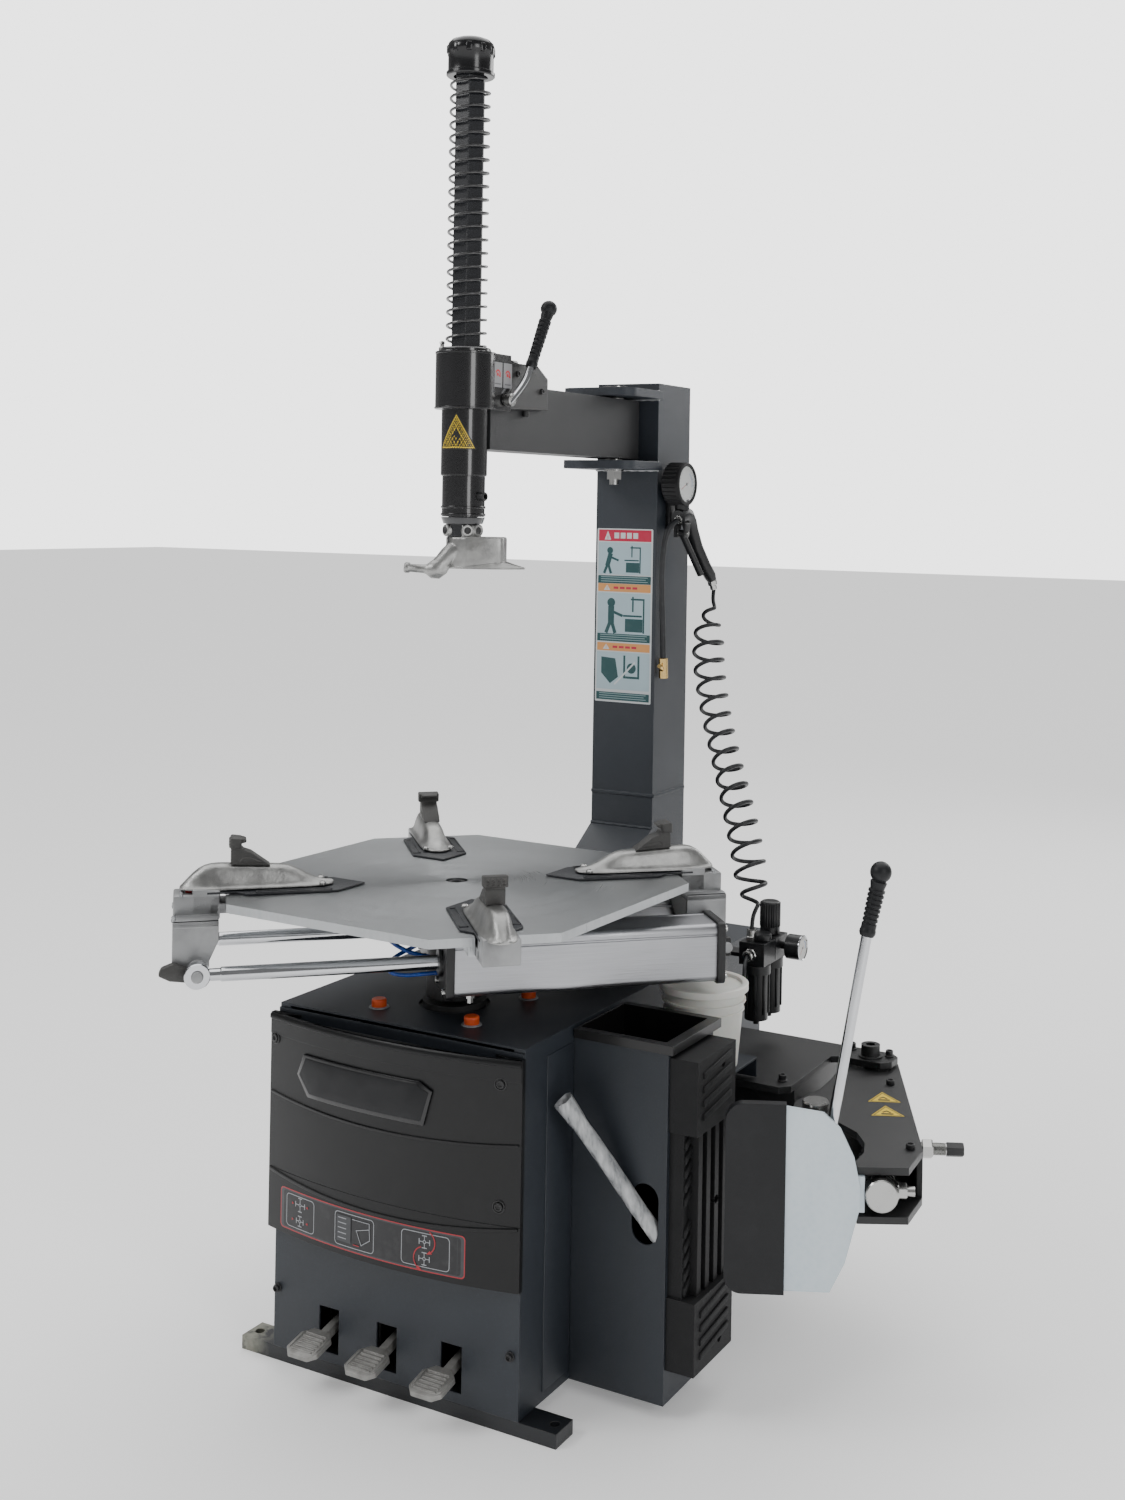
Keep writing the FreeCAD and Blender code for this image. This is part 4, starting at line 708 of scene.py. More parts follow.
# ---- Side housing
# A box of folded sheet on the right of the cabinet. A black plastic tray drops into its top, a ribbed
# rubber guard for the wheel is bolted to its side, and the lever bar is stored through its front slot.
guard_rubber = moulded("guard_rubber", (0.011, 0.0112, 0.012), 0.62, 800, 0.0005)
wear(nodes["side_guard"], guard_rubber)
guard_low, guard_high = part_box("side_guard")
along_x = Matrix(((0, 0, 1, 0), (1, 0, 0, 0), (0, 1, 0, 0), (0, 0, 0, 1)))
tread = Shape()
for low, high in ((guard_low.z + 0.104, (guard_low.z + guard_high.z) / 2 - 0.012),
        ((guard_low.z + guard_high.z) / 2 + 0.012, guard_high.z - 0.106)):
    for k in range(5):
        z = low + (high - low) * k / 5
        tread.pressed([(0.006, z), (0.026, z + 0.016), (0.026, z + 0.026), (0.006, z + 0.010)], 0, 0.006,
            Matrix.Translation((guard_high.x - 0.024, guard_low.y, 0)) @ along_x, bevel=0.0012)
for pad_low in (guard_low.z + 0.01, guard_high.z - 0.092):
    for k in range(4):
        z = pad_low + 0.008 + k * 0.019
        tread.pressed([(0.016, z), (0.104, z + 0.010), (0.104, z + 0.019), (0.016, z + 0.009)], -0.002,
            0.003, Matrix.Translation((guard_high.x, guard_low.y, 0)) @ along_x, bevel=0.0012)
tread.done("guard_tread", "frame", guard_rubber, "rubber")

tray_black = moulded("tray_plastic", (0.008, 0.008, 0.0085), 0.3, 1600, 0.0001, 0.3)
wear(nodes["tool_tray"], tray_black)

sleeve_clear = Finish("wrapped_steel", Coat_Weight=0.9, Coat_Roughness=0.16)
crinkle = sleeve_clear.cloud(70, 6, stretch=(1.6, 1.6, 0.45))
sleeve_clear.bump(crinkle, 0.004)
sleeve_clear.bump(sleeve_clear.cloud(260, 3), 0.0008)
sleeve_clear.surface(
    Base_Color=sleeve_clear.blend(crinkle.within(0.3, 0.7), (0.23, 0.24, 0.25), (0.6, 0.61, 0.62)),
    Roughness=crinkle * 0.3 + 0.15)
slot_x = 0.323
bar_top = Vector((slot_x - 0.097, housing_low.y - 0.062, 0.436))
bar_through = Vector((slot_x - 0.001, housing_low.y + 0.0015, 0.272))
bar_way = (bar_through - bar_top).normalized()
bar_foot = bar_through + bar_way * 0.037
bar_place = facing(bar_top, bar_foot)
bar_long = (bar_foot - bar_top).length


def sheath(share, wide, thick, ripple):
    """A flattened section of the plastic sleeve round the bar, a share of the way along it."""
    section = []
    for k in range(24):
        angle = 2 * math.pi * k / 24
        pleat = 1 + ripple * math.sin(3 * angle + 9 * share) + ripple * 0.6 * math.sin(7 * angle - 31 * share)
        section.append(bar_place
            @ Vector((wide * math.cos(angle) * pleat, thick * math.sin(angle) * pleat, share * bar_long)))
    return section


sheath_outside = [sheath(0.09, 0.006, 0.0045, 0.02), sheath(0.03, 0.0112, 0.0092, 0.08),
    sheath(0.004, 0.0146, 0.0124, 0.09), sheath(0.0, 0.0158, 0.0136, 0.09),
    sheath(0.012, 0.0162, 0.0142, 0.08), sheath(0.08, 0.0152, 0.0132, 0.05),
    sheath(0.13, 0.0136, 0.0122, 0.05)]
sheath_outside += [sheath(0.13 + 0.86 * k / 24, 0.0122, 0.0112, 0.04) for k in range(1, 25)]
lever_bar = Shape()
lever_bar.lofted(sheath_outside)
lever_bar.done("lever_bar", "lever_bar", sleeve_clear, "wrapped_steel", replaces=["pry_bar"], crease=60)

# ---- Grease bucket
# A white polypropylene pail with a press-on lid, a stacking rim under the lid and a thin grip rib.
pail_white = Finish("pail_plastic", Subsurface_Weight=0.12, Subsurface_Scale=0.01)
pail_stain = pail_white.cloud(16, 6).within(0.5, 0.8)
pail_white.bump(pail_white.cloud(380, 3), 0.0002)
pail_white.surface(Base_Color=pail_white.blend(pail_stain * 0.5, (0.78, 0.77, 0.72), (0.5, 0.48, 0.42)),
    Roughness=pail_stain * 0.15 + 0.4)
pail_low, pail_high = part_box("bucket")
pail_place = Matrix.Translation(((pail_low.x + pail_high.x) / 2, (pail_low.y + pail_high.y) / 2, pail_low.z))
pail_tall = pail_high.z - pail_low.z
pail = Shape()
pail.turned([(0, 0.002), (0.049, 0.002), (0.0505, 0), (0.052, 0.0015), (0.0588, 0.084), (0.0612, 0.0845),
        (0.0612, 0.0865), (0.0592, 0.087), (0.0602, 0.097), (0.0635, 0.0975), (0.0635, 0.1),
        (0.0608, 0.1005), (0.061, pail_tall - 0.009), (0.0585, pail_tall - 0.009), (0.048, 0.004),
        (0, 0.004)], pail_place, 72)
pail.turned([(0, pail_tall - 0.0045), (0.052, pail_tall - 0.0045), (0.0535, pail_tall - 0.0052),
        (0.0565, pail_tall - 0.0052), (0.058, pail_tall - 0.0008), (0.0600, pail_tall), (0.0655, pail_tall),
        (0.067, pail_tall - 0.0012), (0.067, pail_tall - 0.0105), (0.0655, pail_tall - 0.0115),
        (0.0648, pail_tall - 0.0075), (0.062, pail_tall - 0.007), (0, pail_tall - 0.007)], pail_place, 72)
pail.done("grease_bucket", "bucket", pail_white, "white_plastic", replaces=["bucket"], crease=40)

# ---- Pedals
# Three cast aluminium pedals on one pin behind the front plate. Each tread has clipped corners, a
# raised rim and six cross bars, and a lever that rises to its hub through a slot in the plate.
cast_grey = Finish("pedal_casting", Metallic=0.55)
cast_edge = cast_grey.edges(0.0012)
cast_dirt = cast_grey.cloud(60, 6).within(0.45, 0.75)
cast_grey.bump(cast_grey.cloud(900, 3), 0.0005)
cast_tone = cast_grey.blend(cast_dirt * 0.6, (0.34, 0.335, 0.32), (0.15, 0.145, 0.135))
cast_grey.surface(Base_Color=cast_grey.blend(cast_edge * 0.6, cast_tone, (0.55, 0.54, 0.52)),
    Roughness=cast_dirt * 0.15 + 0.4)
for side in ("left", "middle", "right"):
    pedal_low, pedal_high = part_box("pedal_" + side)
    tread_x = (pedal_low.x + pedal_high.x) / 2
    hub_y = pedal_high.y - 0.012
    tilt_up = Matrix.Translation((tread_x, pedal_low.y, pedal_low.z)) @ Matrix.Rotation(math.atan2(12, 56),
        4, "X")
    half, long = (pedal_high.x - pedal_low.x) / 2, 0.0572
    pedal = Shape()
    pedal.pressed([(-half * 0.62, 0), (half * 0.62, 0), (half, 0.011), (half, long - 0.014),
            (half * 0.5, long), (-half * 0.5, long), (-half, long - 0.014), (-half, 0.011)], 0.0005, 0.0078,
        tilt_up, bevel=0.0016)
    for k in range(6):
        y = 0.0085 + k * 0.0068
        pedal.block((-half * 0.66, y, 0.0065), (half * 0.66, y + 0.0036, 0.0098), tilt_up, bevel=0.0011)
    for edge in (-1, 1):
        pedal.pressed([(edge * half * 0.76, 0.009), (edge * half * 0.9, 0.013),
                (edge * half * 0.9, long - 0.016), (edge * half * 0.76, long - 0.012)], 0.0065, 0.0094,
            tilt_up, bevel=0.001)
    centre = tread_x + 0.004
    pedal.pressed([(hub_y - 0.009, 0.086), (hub_y - 0.009, 0.070), (-0.150, 0.0525), (-0.160, 0.0535),
            (-0.160, 0.0645), (-0.140, 0.070)], -0.006, 0.006, Matrix.Translation((centre, 0, 0)) @ along_x,
        bevel=0.0015)
    pedal.turned([(0.0073, -0.009), (0.0112, -0.009), (0.012, -0.008), (0.012, 0.008), (0.0112, 0.009),
            (0.0073, 0.009), (0.0073, -0.009)],
        Matrix.Translation((centre, hub_y, 0.078)) @ Matrix.Rotation(math.pi / 2, 4, "Y"))
    pedal.done("tread_" + side, "pedal_" + side, cast_grey, "cast_steel", replaces=["pedal_" + side])

# ---- Drive
# Hidden in the cabinet: a painted motor drives a worm gearbox by a rubber belt and two cast pulleys.
cast_dark = powder_coat("dark_casting", (0.028, 0.029, 0.029), (0.12, 0.12, 0.12), 0.5)
for name in ("gearbox", "gearbox_pulley", "motor_pulley"):
    wear(nodes[name], cast_dark)
wear(nodes["motor"], powder_coat("motor_paint", (0.08, 0.1, 0.13), (0.2, 0.2, 0.2)))
wear(nodes["drive_belt"], guard_rubber)
black_steel = powder_coat("black_steel", (0.011, 0.0115, 0.012), (0.15, 0.15, 0.15), 0.36, 0.4)
wear(nodes["pedal_bracket"], black_steel)

# ---- Turntable
# A 12 mm steel plate with eight sides, its top ground in rings round the centre so that light fans
# out over it, and its sides flame cut. It has a bored centre and slots for the jaws.
table_turn = math.radians(43.4)
table_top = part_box("turntable_plate")[1].z


def ring_ground(name, centre_tone, edge_tone):
    finish = Finish(name, Metallic=1.0)
    here = finish.place()
    flat = finish.node("ShaderNodeVectorMath", {"operation": "MULTIPLY"}, {0: here, 1: (1, 1, 0)})
    radius = finish.node("ShaderNodeVectorMath", {"operation": "LENGTH"}, {0: flat}, out=1)
    ring = finish.node("ShaderNodeTexNoise", {"noise_dimensions": "1D"},
        {"W": radius, "Scale": 420.0, "Detail": 6.0})
    fine = finish.node("ShaderNodeTexNoise", {"noise_dimensions": "1D"},
        {"W": radius, "Scale": 2600.0, "Detail": 3.0})
    smear = finish.cloud(9, 5)
    spots = finish.cloud(45, 6).within(0.6, 0.78)
    finish.bump(fine, 0.0003)
    tone = finish.blend(ring, centre_tone, edge_tone)
    tone = finish.blend(smear.within(0.35, 0.7) * 0.35, tone, [c * 0.8 for c in centre_tone])
    return finish.surface(Base_Color=finish.blend(spots * 0.12, tone, (0.3, 0.32, 0.34)),
        Roughness=smear * 0.1 + ring * 0.06 + 0.22)


table_steel = ring_ground("ring_ground_steel", (0.385, 0.40, 0.41), (0.49, 0.505, 0.515))
wear(nodes["turntable_plate"], table_steel)
hub_black = powder_coat("hub_black", (0.010, 0.010, 0.011), (0.14, 0.14, 0.14), 0.4)
for name in ("turntable_hub", "sync_plate",
        *("sync_link_" + side for side in ("right", "back", "left", "front"))):
    wear(nodes[name], hub_black)

centre_screw = Shape()
centre_screw.turned([(0, -0.007), (0.0125, -0.007), (0.0135, -0.0035), (0.0128, -0.002), (0.0105, -0.0015),
        (0.0075, -0.0015), (0.0068, -0.0055), (0, -0.0055)], Matrix.Translation((0, 0, table_top)))
centre_screw.done("table_centre_screw", "turntable", screw_black, "black_steel")


# ---- Clamp cylinders
# Two drawn aluminium barrels with black cast end caps, pinned to the right jaw. Their hard chromed
# rods end in eyes on the left jaw's cross pin, so the same air opens and closes all four jaws.
def drawn_metal(name, colour, roughness, turn, streak=(3, 260, 260)):
    finish = Finish(name, Metallic=1.0)
    edge = finish.edges(0.001)
    lines = finish.cloud(4, 5, turn, streak)
    smear = finish.cloud(14, 4)
    finish.bump(lines, 0.00025)
    base = finish.blend(lines.within(0.3, 0.7), [c * 0.86 for c in colour], colour)
    return finish.surface(Base_Color=finish.blend(edge * 0.4, base, [min(1, c * 1.25) for c in colour]),
        Roughness=smear * 0.1 + lines * 0.1 + roughness - 0.1)


def polished(name, colour=(0.60, 0.61, 0.63), roughness=0.09):
    finish = Finish(name, Metallic=1.0)
    haze = finish.cloud(25, 6).within(0.45, 0.8)
    finish.bump(finish.cloud(350, 3), 0.00003)
    return finish.surface(Base_Color=finish.blend(haze * 0.3, colour, [c * 0.7 for c in colour]),
        Roughness=haze * 0.14 + roughness)


barrel_aluminium = drawn_metal("drawn_aluminium", (0.45, 0.455, 0.475), 0.36, table_turn)
cap_black = powder_coat("cap_black", (0.006, 0.006, 0.007), (0.1, 0.1, 0.1), 0.3, 0.3)
chrome = polished("hard_chrome")
zinc = polished("bright_zinc", (0.45, 0.45, 0.44), 0.24)
table_place = Matrix.Rotation(table_turn, 4, "Z")
bore_z = 0.607
bore_y = 0.095
barrel_in, barrel_out = -0.022, 0.362
half_wide, half_tall = 0.040, 0.042
pin_reach = 0.368


def rounded_box(half_x, half_y, round_by, groove=0.0):
    """The outline of a box with round corners, and a groove beside each."""
    outline = []
    for first, sx, sy in ((0, 1, 1), (90, -1, 1), (180, -1, -1), (270, 1, -1)):
        for k in range(7):
            angle = math.radians(first + 15 * k)
            outline.append((sx * (half_x - round_by) + round_by * math.cos(angle),
                    sy * (half_y - round_by) + round_by * math.sin(angle)))
        if groove:
            gap = round_by + 0.003
            down = {0: (sx * (half_x - gap), half_y), 90: (-half_x, half_y - gap),
                180: (-half_x + gap, -half_y), 270: (half_x, -half_y + gap)}[first]
            step = {0: (-1, 0), 90: (0, -1), 180: (1, 0), 270: (0, 1)}[first]
            dip = {0: (0, -1), 90: (1, 0), 180: (0, 1), 270: (-1, 0)}[first]
            for shift, sink in ((0, 0), (groove, groove), (groove * 2.4, groove), (groove * 3.4, 0)):
                outline.append(
                    (down[0] + step[0] * shift + dip[0] * sink, down[1] + step[1] * shift + dip[1] * sink))
    return outline


barrels = Shape()
caps = Shape()
pins = Shape()
for side in (-1, 1):
    axis = table_place @ Matrix.Translation((0, side * bore_y, bore_z)) @ along_x
    barrels.pressed(rounded_box(half_wide, half_tall, 0.010, 0.0012), barrel_in, barrel_out, axis,
        bevel=0.0004, sharp=60)
    for start, end in ((barrel_in - 0.012, barrel_in), (barrel_out, barrel_out + 0.012)):
        caps.pressed(rounded_box(half_wide + 0.003, half_tall + 0.003, 0.009), start, end, axis,
            bevel=0.0012, sharp=60)
    caps.turned([(0.0105, -0.006), (0.019, -0.006), (0.0205, -0.0045), (0.0205, 0), (0.0105, 0)],
        axis @ Matrix.Translation((0, 0, barrel_in - 0.012)))
    for u in (-1, 1):
        for v in (-1, 1):
            for end, spin in ((barrel_out + 0.012, 0), (barrel_in - 0.012, math.pi)):
                place = axis @ Matrix.Translation((u * (half_wide - 0.008), v * (half_tall - 0.008), end))
                bolt_head(pins, place @ Matrix.Rotation(spin, 4, "X"), 0.010, 0.0045)
    caps.block((-0.009, -0.014, barrel_out + 0.012), (0.009, 0.014, barrel_out + 0.0315), axis, bevel=0.003)
    rear = axis @ Matrix.Translation((0, 0, 0.386)) @ Matrix.Rotation(math.pi / 2, 4, "Y")
    for away in (-1, 1):
        pins.turned(
            [(0, 0.0132), (0.006, 0.0132), (0.0075, 0.0118), (0.008, 0.0095), (0.008, 0.0088), (0, 0.0088)],
            rear @ Matrix.Rotation(math.pi / 2 * (1 - away), 4, "X"))
    for u, where in ((-0.018, barrel_out - 0.022), (0.018, barrel_in + 0.026)):
        fitting = axis @ Matrix.Translation((u * side, -half_tall, where)) @ Matrix.Rotation(math.pi / 2, 4,
            "X")
        pins.turned([(0, 0), (0.0068, 0), (0.0068, 0.006), (0.0045, 0.0065), (0.0045, 0.013), (0, 0.013)],
            fitting, 6)
barrels.done("cylinder_barrels", "jaw_right", barrel_aluminium, "brushed_aluminium",
    replaces=["clamp_cylinders"])
caps.done("cylinder_caps", "jaw_right", cap_black, "gloss_black")
pins.done("cylinder_screws", "jaw_right", zinc, "galvanised")

rods = Shape()
for side in (-1, 1):
    axis = table_place @ Matrix.Translation((0, side * bore_y, bore_z)) @ along_x
    rods.turned([(0, -pin_reach + 0.016), (0.0085, -pin_reach + 0.016), (0.0085, -pin_reach + 0.030),
            (0.010, -pin_reach + 0.032), (0.010, -0.018), (0, -0.018)], axis, 48)
    rods.turned([(0.0083, -0.009), (0.0165, -0.009), (0.0175, -0.0075), (0.0175, 0.0075), (0.0165, 0.009),
            (0.0083, 0.009), (0.0083, -0.009)],
        axis @ Matrix.Translation((0, 0, -pin_reach)) @ Matrix.Rotation(math.pi / 2, 4, "Y"), 48)
rods.done("cylinder_rods", "jaw_left", chrome, "chrome", replaces=["clamp_rods"])

# ---- Jaws
# Each of the four jaws is a steel slide under the plate, joined round its edge to a black slotted
# carrier plate on top. A cast aluminium cover is riveted to that, and holds a hardened steel claw.
cast_bright = Finish("cast_aluminium", Metallic=0.85)
bright_edge = cast_bright.edges(0.002)
bright_mottle = cast_bright.cloud(42, 7)
cast_bright.bump(cast_bright.cloud(110, 6), 0.0006)
cast_bright.bump(cast_bright.cloud(900, 2), 0.0002)
bright_tone = cast_bright.blend(bright_mottle.within(0.35, 0.65), (0.27, 0.27, 0.265), (0.42, 0.42, 0.41))
bright_grime = cast_bright.cloud(17, 6).within(0.55, 0.75) * 0.4
bright_tone = cast_bright.blend(bright_grime, bright_tone, (0.2, 0.195, 0.18))
cast_bright.surface(Base_Color=cast_bright.blend(bright_edge * 0.5, bright_tone, (0.6, 0.6, 0.59)),
    Roughness=bright_mottle * 0.2 + 0.26)
claw_steel = powder_coat("claw_steel", (0.045, 0.044, 0.042), (0.2, 0.19, 0.18), 0.48, 0.7)
slide_paint = Finish("silver_paint", Metallic=0.45)
slide_edge = slide_paint.edges(0.0015)
slide_dirt = slide_paint.cloud(26, 6).within(0.5, 0.75)
slide_paint.bump(slide_paint.cloud(700, 3), 0.0003)
slide_tone = slide_paint.blend(slide_dirt * 0.5, (0.33, 0.335, 0.34), (0.17, 0.17, 0.17))
slide_paint.surface(Base_Color=slide_paint.blend(slide_edge * 0.5, slide_tone, (0.5, 0.5, 0.5)),
    Roughness=slide_dirt * 0.15 + 0.36)
carrier_black = powder_coat("carrier_black", (0.014, 0.016, 0.02), (0.25, 0.25, 0.25), 0.38, 0.8)
weld_steel = Finish("weld_bead", Metallic=0.7)
weld_tone = weld_steel.cloud(240, 5)
weld_steel.bump(weld_steel.cloud(420, 3), 0.0012)
weld_steel.surface(Base_Color=weld_steel.blend(weld_tone, (0.16, 0.17, 0.18), (0.62, 0.63, 0.64)),
    Roughness=weld_tone * 0.3 + 0.25)
red_plastic = moulded("red_plastic", (0.5, 0.012, 0.015), 0.3, shine=0.4)


def weld(shape, start, end, out, width, high):
    """A run of overlapping weld puddles from start to end, standing out of the surface."""
    run = Vector(end) - Vector(start)
    count = max(3, int(run.length / (width * 0.55)))
    for k in range(count + 1):
        wobble = 1 + 0.12 * math.sin(5.1 * k)
        at = Vector(start) + run * (k / count)
        shape.turned([(width / 2 * wobble, 0), (width * 0.42 * wobble, high * 0.55),
                (width * 0.25, high * 0.92), (0, high)], facing(at, at + Vector(out)), 10)


carrier_top = table_top + 0.0035
slide_z = (0.673, 0.6872)
wrap_top = carrier_top + 0.004
jaw_pin = 0.225
on_edge = Matrix(((1, 0, 0, 0), (0, 0, -1, 0), (0, 1, 0, 0), (0, 0, 0, 1)))


def cover_section(x, foot, flank, ridge, high):
    """One section across a jaw cover: flange, sloping flanks and a round ridge."""
    low = min(0.0035, high)
    half = [(foot, 0), (foot, low), (flank, min(0.0055, high + 0.0005)),
        (flank * 0.86, high * 0.45 + 0.002), (ridge, max(high - 0.0025, low)),
        (ridge * 0.5, max(high, low))]
    return [(x, y, z) for y, z in half] + [(x, -y, z) for y, z in reversed(half)]


def jaw(side, turn, cheek_offset, pin_at):
    body = "jaw_" + side
    place = Matrix.Rotation(table_turn + turn, 4, "Z")
    lifted = place @ Matrix.Translation((0, 0, carrier_top))
    slide = Shape()
    slide.block((0.200, -0.025, slide_z[0]), (0.352, 0.025, slide_z[1]), place, bevel=0.0015)
    slide.block((0.338, -0.025, slide_z[0]), (0.376, 0.025, wrap_top), place, bevel=0.0025)
    slide.turned([(0.0058, 0.0652), (0.0058, 0.0735), (0, 0.0735), (0, 0.0652)],
        place @ Matrix.Translation((jaw_pin, 0, 0.6)), 20)
    if cheek_offset:
        cheek = [(0.340, 0.6725), (0.402, 0.6725), (0.402, 0.612), (0.398, 0.602), (0.386, 0.590),
            (0.352, 0.590), (0.352, 0.618), (0.340, 0.645)]
        for y in (-cheek_offset, cheek_offset):
            slide.pressed(cheek, -0.004, 0.004, place @ Matrix.Translation((0, y, 0)) @ on_edge, bevel=0.0012)
            for away in (-1, 1):
                slide.turned([(0, 0.004), (0.0135, 0.004), (0.0135, 0.0062), (0.0125, 0.007), (0, 0.007)],
                    place @ Matrix.Translation((pin_at, y, bore_z))
                    @ Matrix.Rotation(math.pi / 2 * away, 4, "X"), 36)
        reach = cheek_offset + 0.004
        slide.block((0.340, -reach, 0.6645), (0.402, reach, 0.6725), place, bevel=0.0012)
        slide.block((0.338, -0.025, 0.6645), (0.402, 0.025, table_top), place, bevel=0.0025)
        slide.turned([(0, -bore_y - 0.014), (0.0065, -bore_y - 0.014), (0.008, -bore_y - 0.0125),
                (0.008, bore_y + 0.0125), (0.0065, bore_y + 0.014), (0, bore_y + 0.014)],
            place @ Matrix.Translation((pin_at, 0, bore_z)) @ Matrix.Rotation(-math.pi / 2, 4, "X"), 28)
    slide.done("slide_" + side, body, slide_paint, "cast_steel", replaces=[body])

    carrier = Shape()
    slots = 0.006
    outline = [(0.134, 0), (0.176, 0.042), (0.300, 0.042), (0.316, 0.026), (0.356, 0.026), (0.356, -0.026),
        (0.316, -0.026), (0.300, -0.042), (0.176, -0.042)]
    carrier.pressed(outline, -0.003, -0.0002, lifted, bevel=0.0005)
    for y in (-0.035, 0.035):
        for u0, v0, u1, v1 in ((0.184, y - slots, 0.290, y - slots + 0.0022),
                (0.184, y + slots - 0.0022, 0.290, y + slots), (0.184, y - slots, 0.1864, y + slots),
                (0.2876, y - slots, 0.290, y + slots)):
            carrier.block((u0, v0, -0.0003), (u1, v1, 0.0012), lifted, bevel=0.0004)
    carrier.done("carrier_" + side, body, carrier_black, "black_steel")

    stations = [(0.1785, 0.006, 0.004, 0.003, 0.0045), (0.184, 0.016, 0.009, 0.006, 0.006),
        (0.204, 0.0245, 0.017, 0.009, 0.0095), (0.224, 0.026, 0.0195, 0.011, 0.021),
        (0.243, 0.026, 0.0205, 0.0125, 0.0305), (0.256, 0.026, 0.0205, 0.0135, 0.0318),
        (0.290, 0.026, 0.0205, 0.0135, 0.0335), (0.330, 0.026, 0.0205, 0.0135, 0.0358),
        (0.352, 0.0255, 0.020, 0.0125, 0.0365), (0.368, 0.0235, 0.0175, 0.010, 0.031),
        (0.382, 0.019, 0.013, 0.007, 0.0175), (0.390, 0.013, 0.009, 0.005, 0.0085),
        (0.394, 0.006, 0.004, 0.003, 0.005)]
    cover = Shape()
    cover.lofted([cover_section(*station) for station in stations], lifted)
    cover.done("cover_" + side, body, cast_bright, "cast_steel", crease=75, subdivide=1)
    studs = Shape()
    for x, y in ((0.196, 0.0195), (0.196, -0.0195)):
        studs.turned([(0, 0), (0.0052, 0), (0.005, 0.0025), (0.0032, 0.0045), (0, 0.005)],
            lifted @ Matrix.Translation((x, y, 0.0036)), 18)
    studs.done("rivets_" + side, body, zinc, "galvanised")

    claw = Shape()
    claw.pressed([(0.269, 0.0315), (0.324, 0.0350), (0.324, 0.0545), (0.3225, 0.056), (0.3245, 0.0585),
            (0.3245, 0.0705), (0.3225, 0.0725), (0.306, 0.0705), (0.3025, 0.0685), (0.3035, 0.0655),
            (0.309, 0.0645), (0.311, 0.060), (0.306, 0.0545), (0.296, 0.051)], -0.013, 0.013,
        lifted @ on_edge, bevel=0.0014)
    claw.pressed([(0.3105, 0.0575), (0.3250, 0.0575), (0.3250, 0.0708), (0.323, 0.073), (0.3085, 0.071)],
        -0.0165, 0.0165, lifted @ on_edge, bevel=0.0016)
    for row in range(3):
        for column in range(4):
            y, z = (column - 1.5) * 0.0072, 0.0598 + row * 0.0042
            claw.lofted([[(x, y + u * dy, z + v * dz) for u, v in ((-1, -1), (1, -1), (1, 1), (-1, 1))]
                    for x, dy, dz in ((0.325, 0.0026, 0.0016), (0.3268, 0.0008, 0.0005))], lifted)
    for y in (-0.0132, 0.0132):
        claw.pressed([(0.280, 0.0365), (0.312, 0.0385), (0.308, 0.044), (0.297, 0.0435)], -0.0008, 0.0008,
            lifted @ Matrix.Translation((0, y, 0)) @ on_edge, bevel=0.0006)
    claw.done("claw_" + side, body, claw_steel, "dark_cast")


cheek_right, cheek_left = 0.046, 0.062
barrel_pin = 0.386
for turns, (side, offset, pin_at) in enumerate((("right", cheek_right, barrel_pin), ("back", 0, 0),
            ("left", cheek_left, pin_reach), ("front", 0, 0))):
    jaw(side, turns * math.pi / 2, offset, pin_at)
left_place = Matrix.Rotation(table_turn + math.pi, 4, "Z")
for place, body_name, reach in ((left_place, "jaw_left", cheek_left),
        (table_place, "jaw_right", cheek_right)):
    edge_welds = Shape()
    for y0, y1 in ((-reach + 0.006, -0.028), (0.028, reach - 0.006)):
        weld(edge_welds, place @ Vector((0.4005, y0, 0.671)), place @ Vector((0.4005, y1, 0.671)),
            (0, 0, 1), 0.007, 0.0032)
    weld(edge_welds, place @ Vector((0.391, -0.024, 0.6985)), place @ Vector((0.391, 0.024, 0.6985)),
        (0, 0, 1), 0.007, 0.004)
    edge_welds.done(body_name + "_welds", body_name, weld_steel, "cast_steel")

left_tab = Shape()
left_tab.pressed(
    [(0.398, 0.572), (0.404, 0.592), (0.424, 0.600), (0.440, 0.594), (0.444, 0.584), (0.428, 0.576)],
    -0.008, 0.008, left_place @ Matrix.Translation((-0.024, bore_y - 0.022, 0.020)) @ on_edge, bevel=0.003)
left_tab.done("jaw_left_tab", "jaw_left", claw_steel, "dark_cast")
red_tip = Shape()
red_tip.pressed([(0.376, -0.006), (0.386, -0.005), (0.386, 0.005), (0.376, 0.006)], 0.6995, 0.7075,
    left_place, bevel=0.0015)
red_tip.done("jaw_left_marker", "jaw_left", red_plastic, "orange_plastic")

# ---- Column
# Square tube welded to a foot plate, with a box gusset in front and two fork plates at the top that
# carry the arm's pivot pin. A weld ring shows where its two lengths were joined.
column_half = 0.060
column_front, column_back = 0.498, 0.618
column_welds = Shape()
weld(column_welds, (-column_half + 0.002, column_front, 0.757), (column_half - 0.002, column_front, 0.757),
    (0, -1, 0), 0.008, 0.0022)
for side in (-1, 1):
    weld(column_welds, (side * column_half, column_front + 0.004, 0.757),
        (side * column_half, column_back - 0.004, 0.757), (side, 0, 0), 0.008, 0.0022)
weld(column_welds, (-column_half + 0.002, column_front - 0.001, 0.7025),
    (column_half - 0.002, column_front - 0.001, 0.7025), (0, -1, 1), 0.007, 0.002)
column_welds.done("column_welds", "frame", navy_coat, "powder_coat")
fork_welds = Shape()
for z in (1.3185, 1.3315, 1.4405, 1.4535):
    weld(fork_welds, (column_half + 0.0005, column_front - 0.001, z),
        (-column_half, column_front - 0.001, z), (0, -1, 0), 0.006, 0.0018)
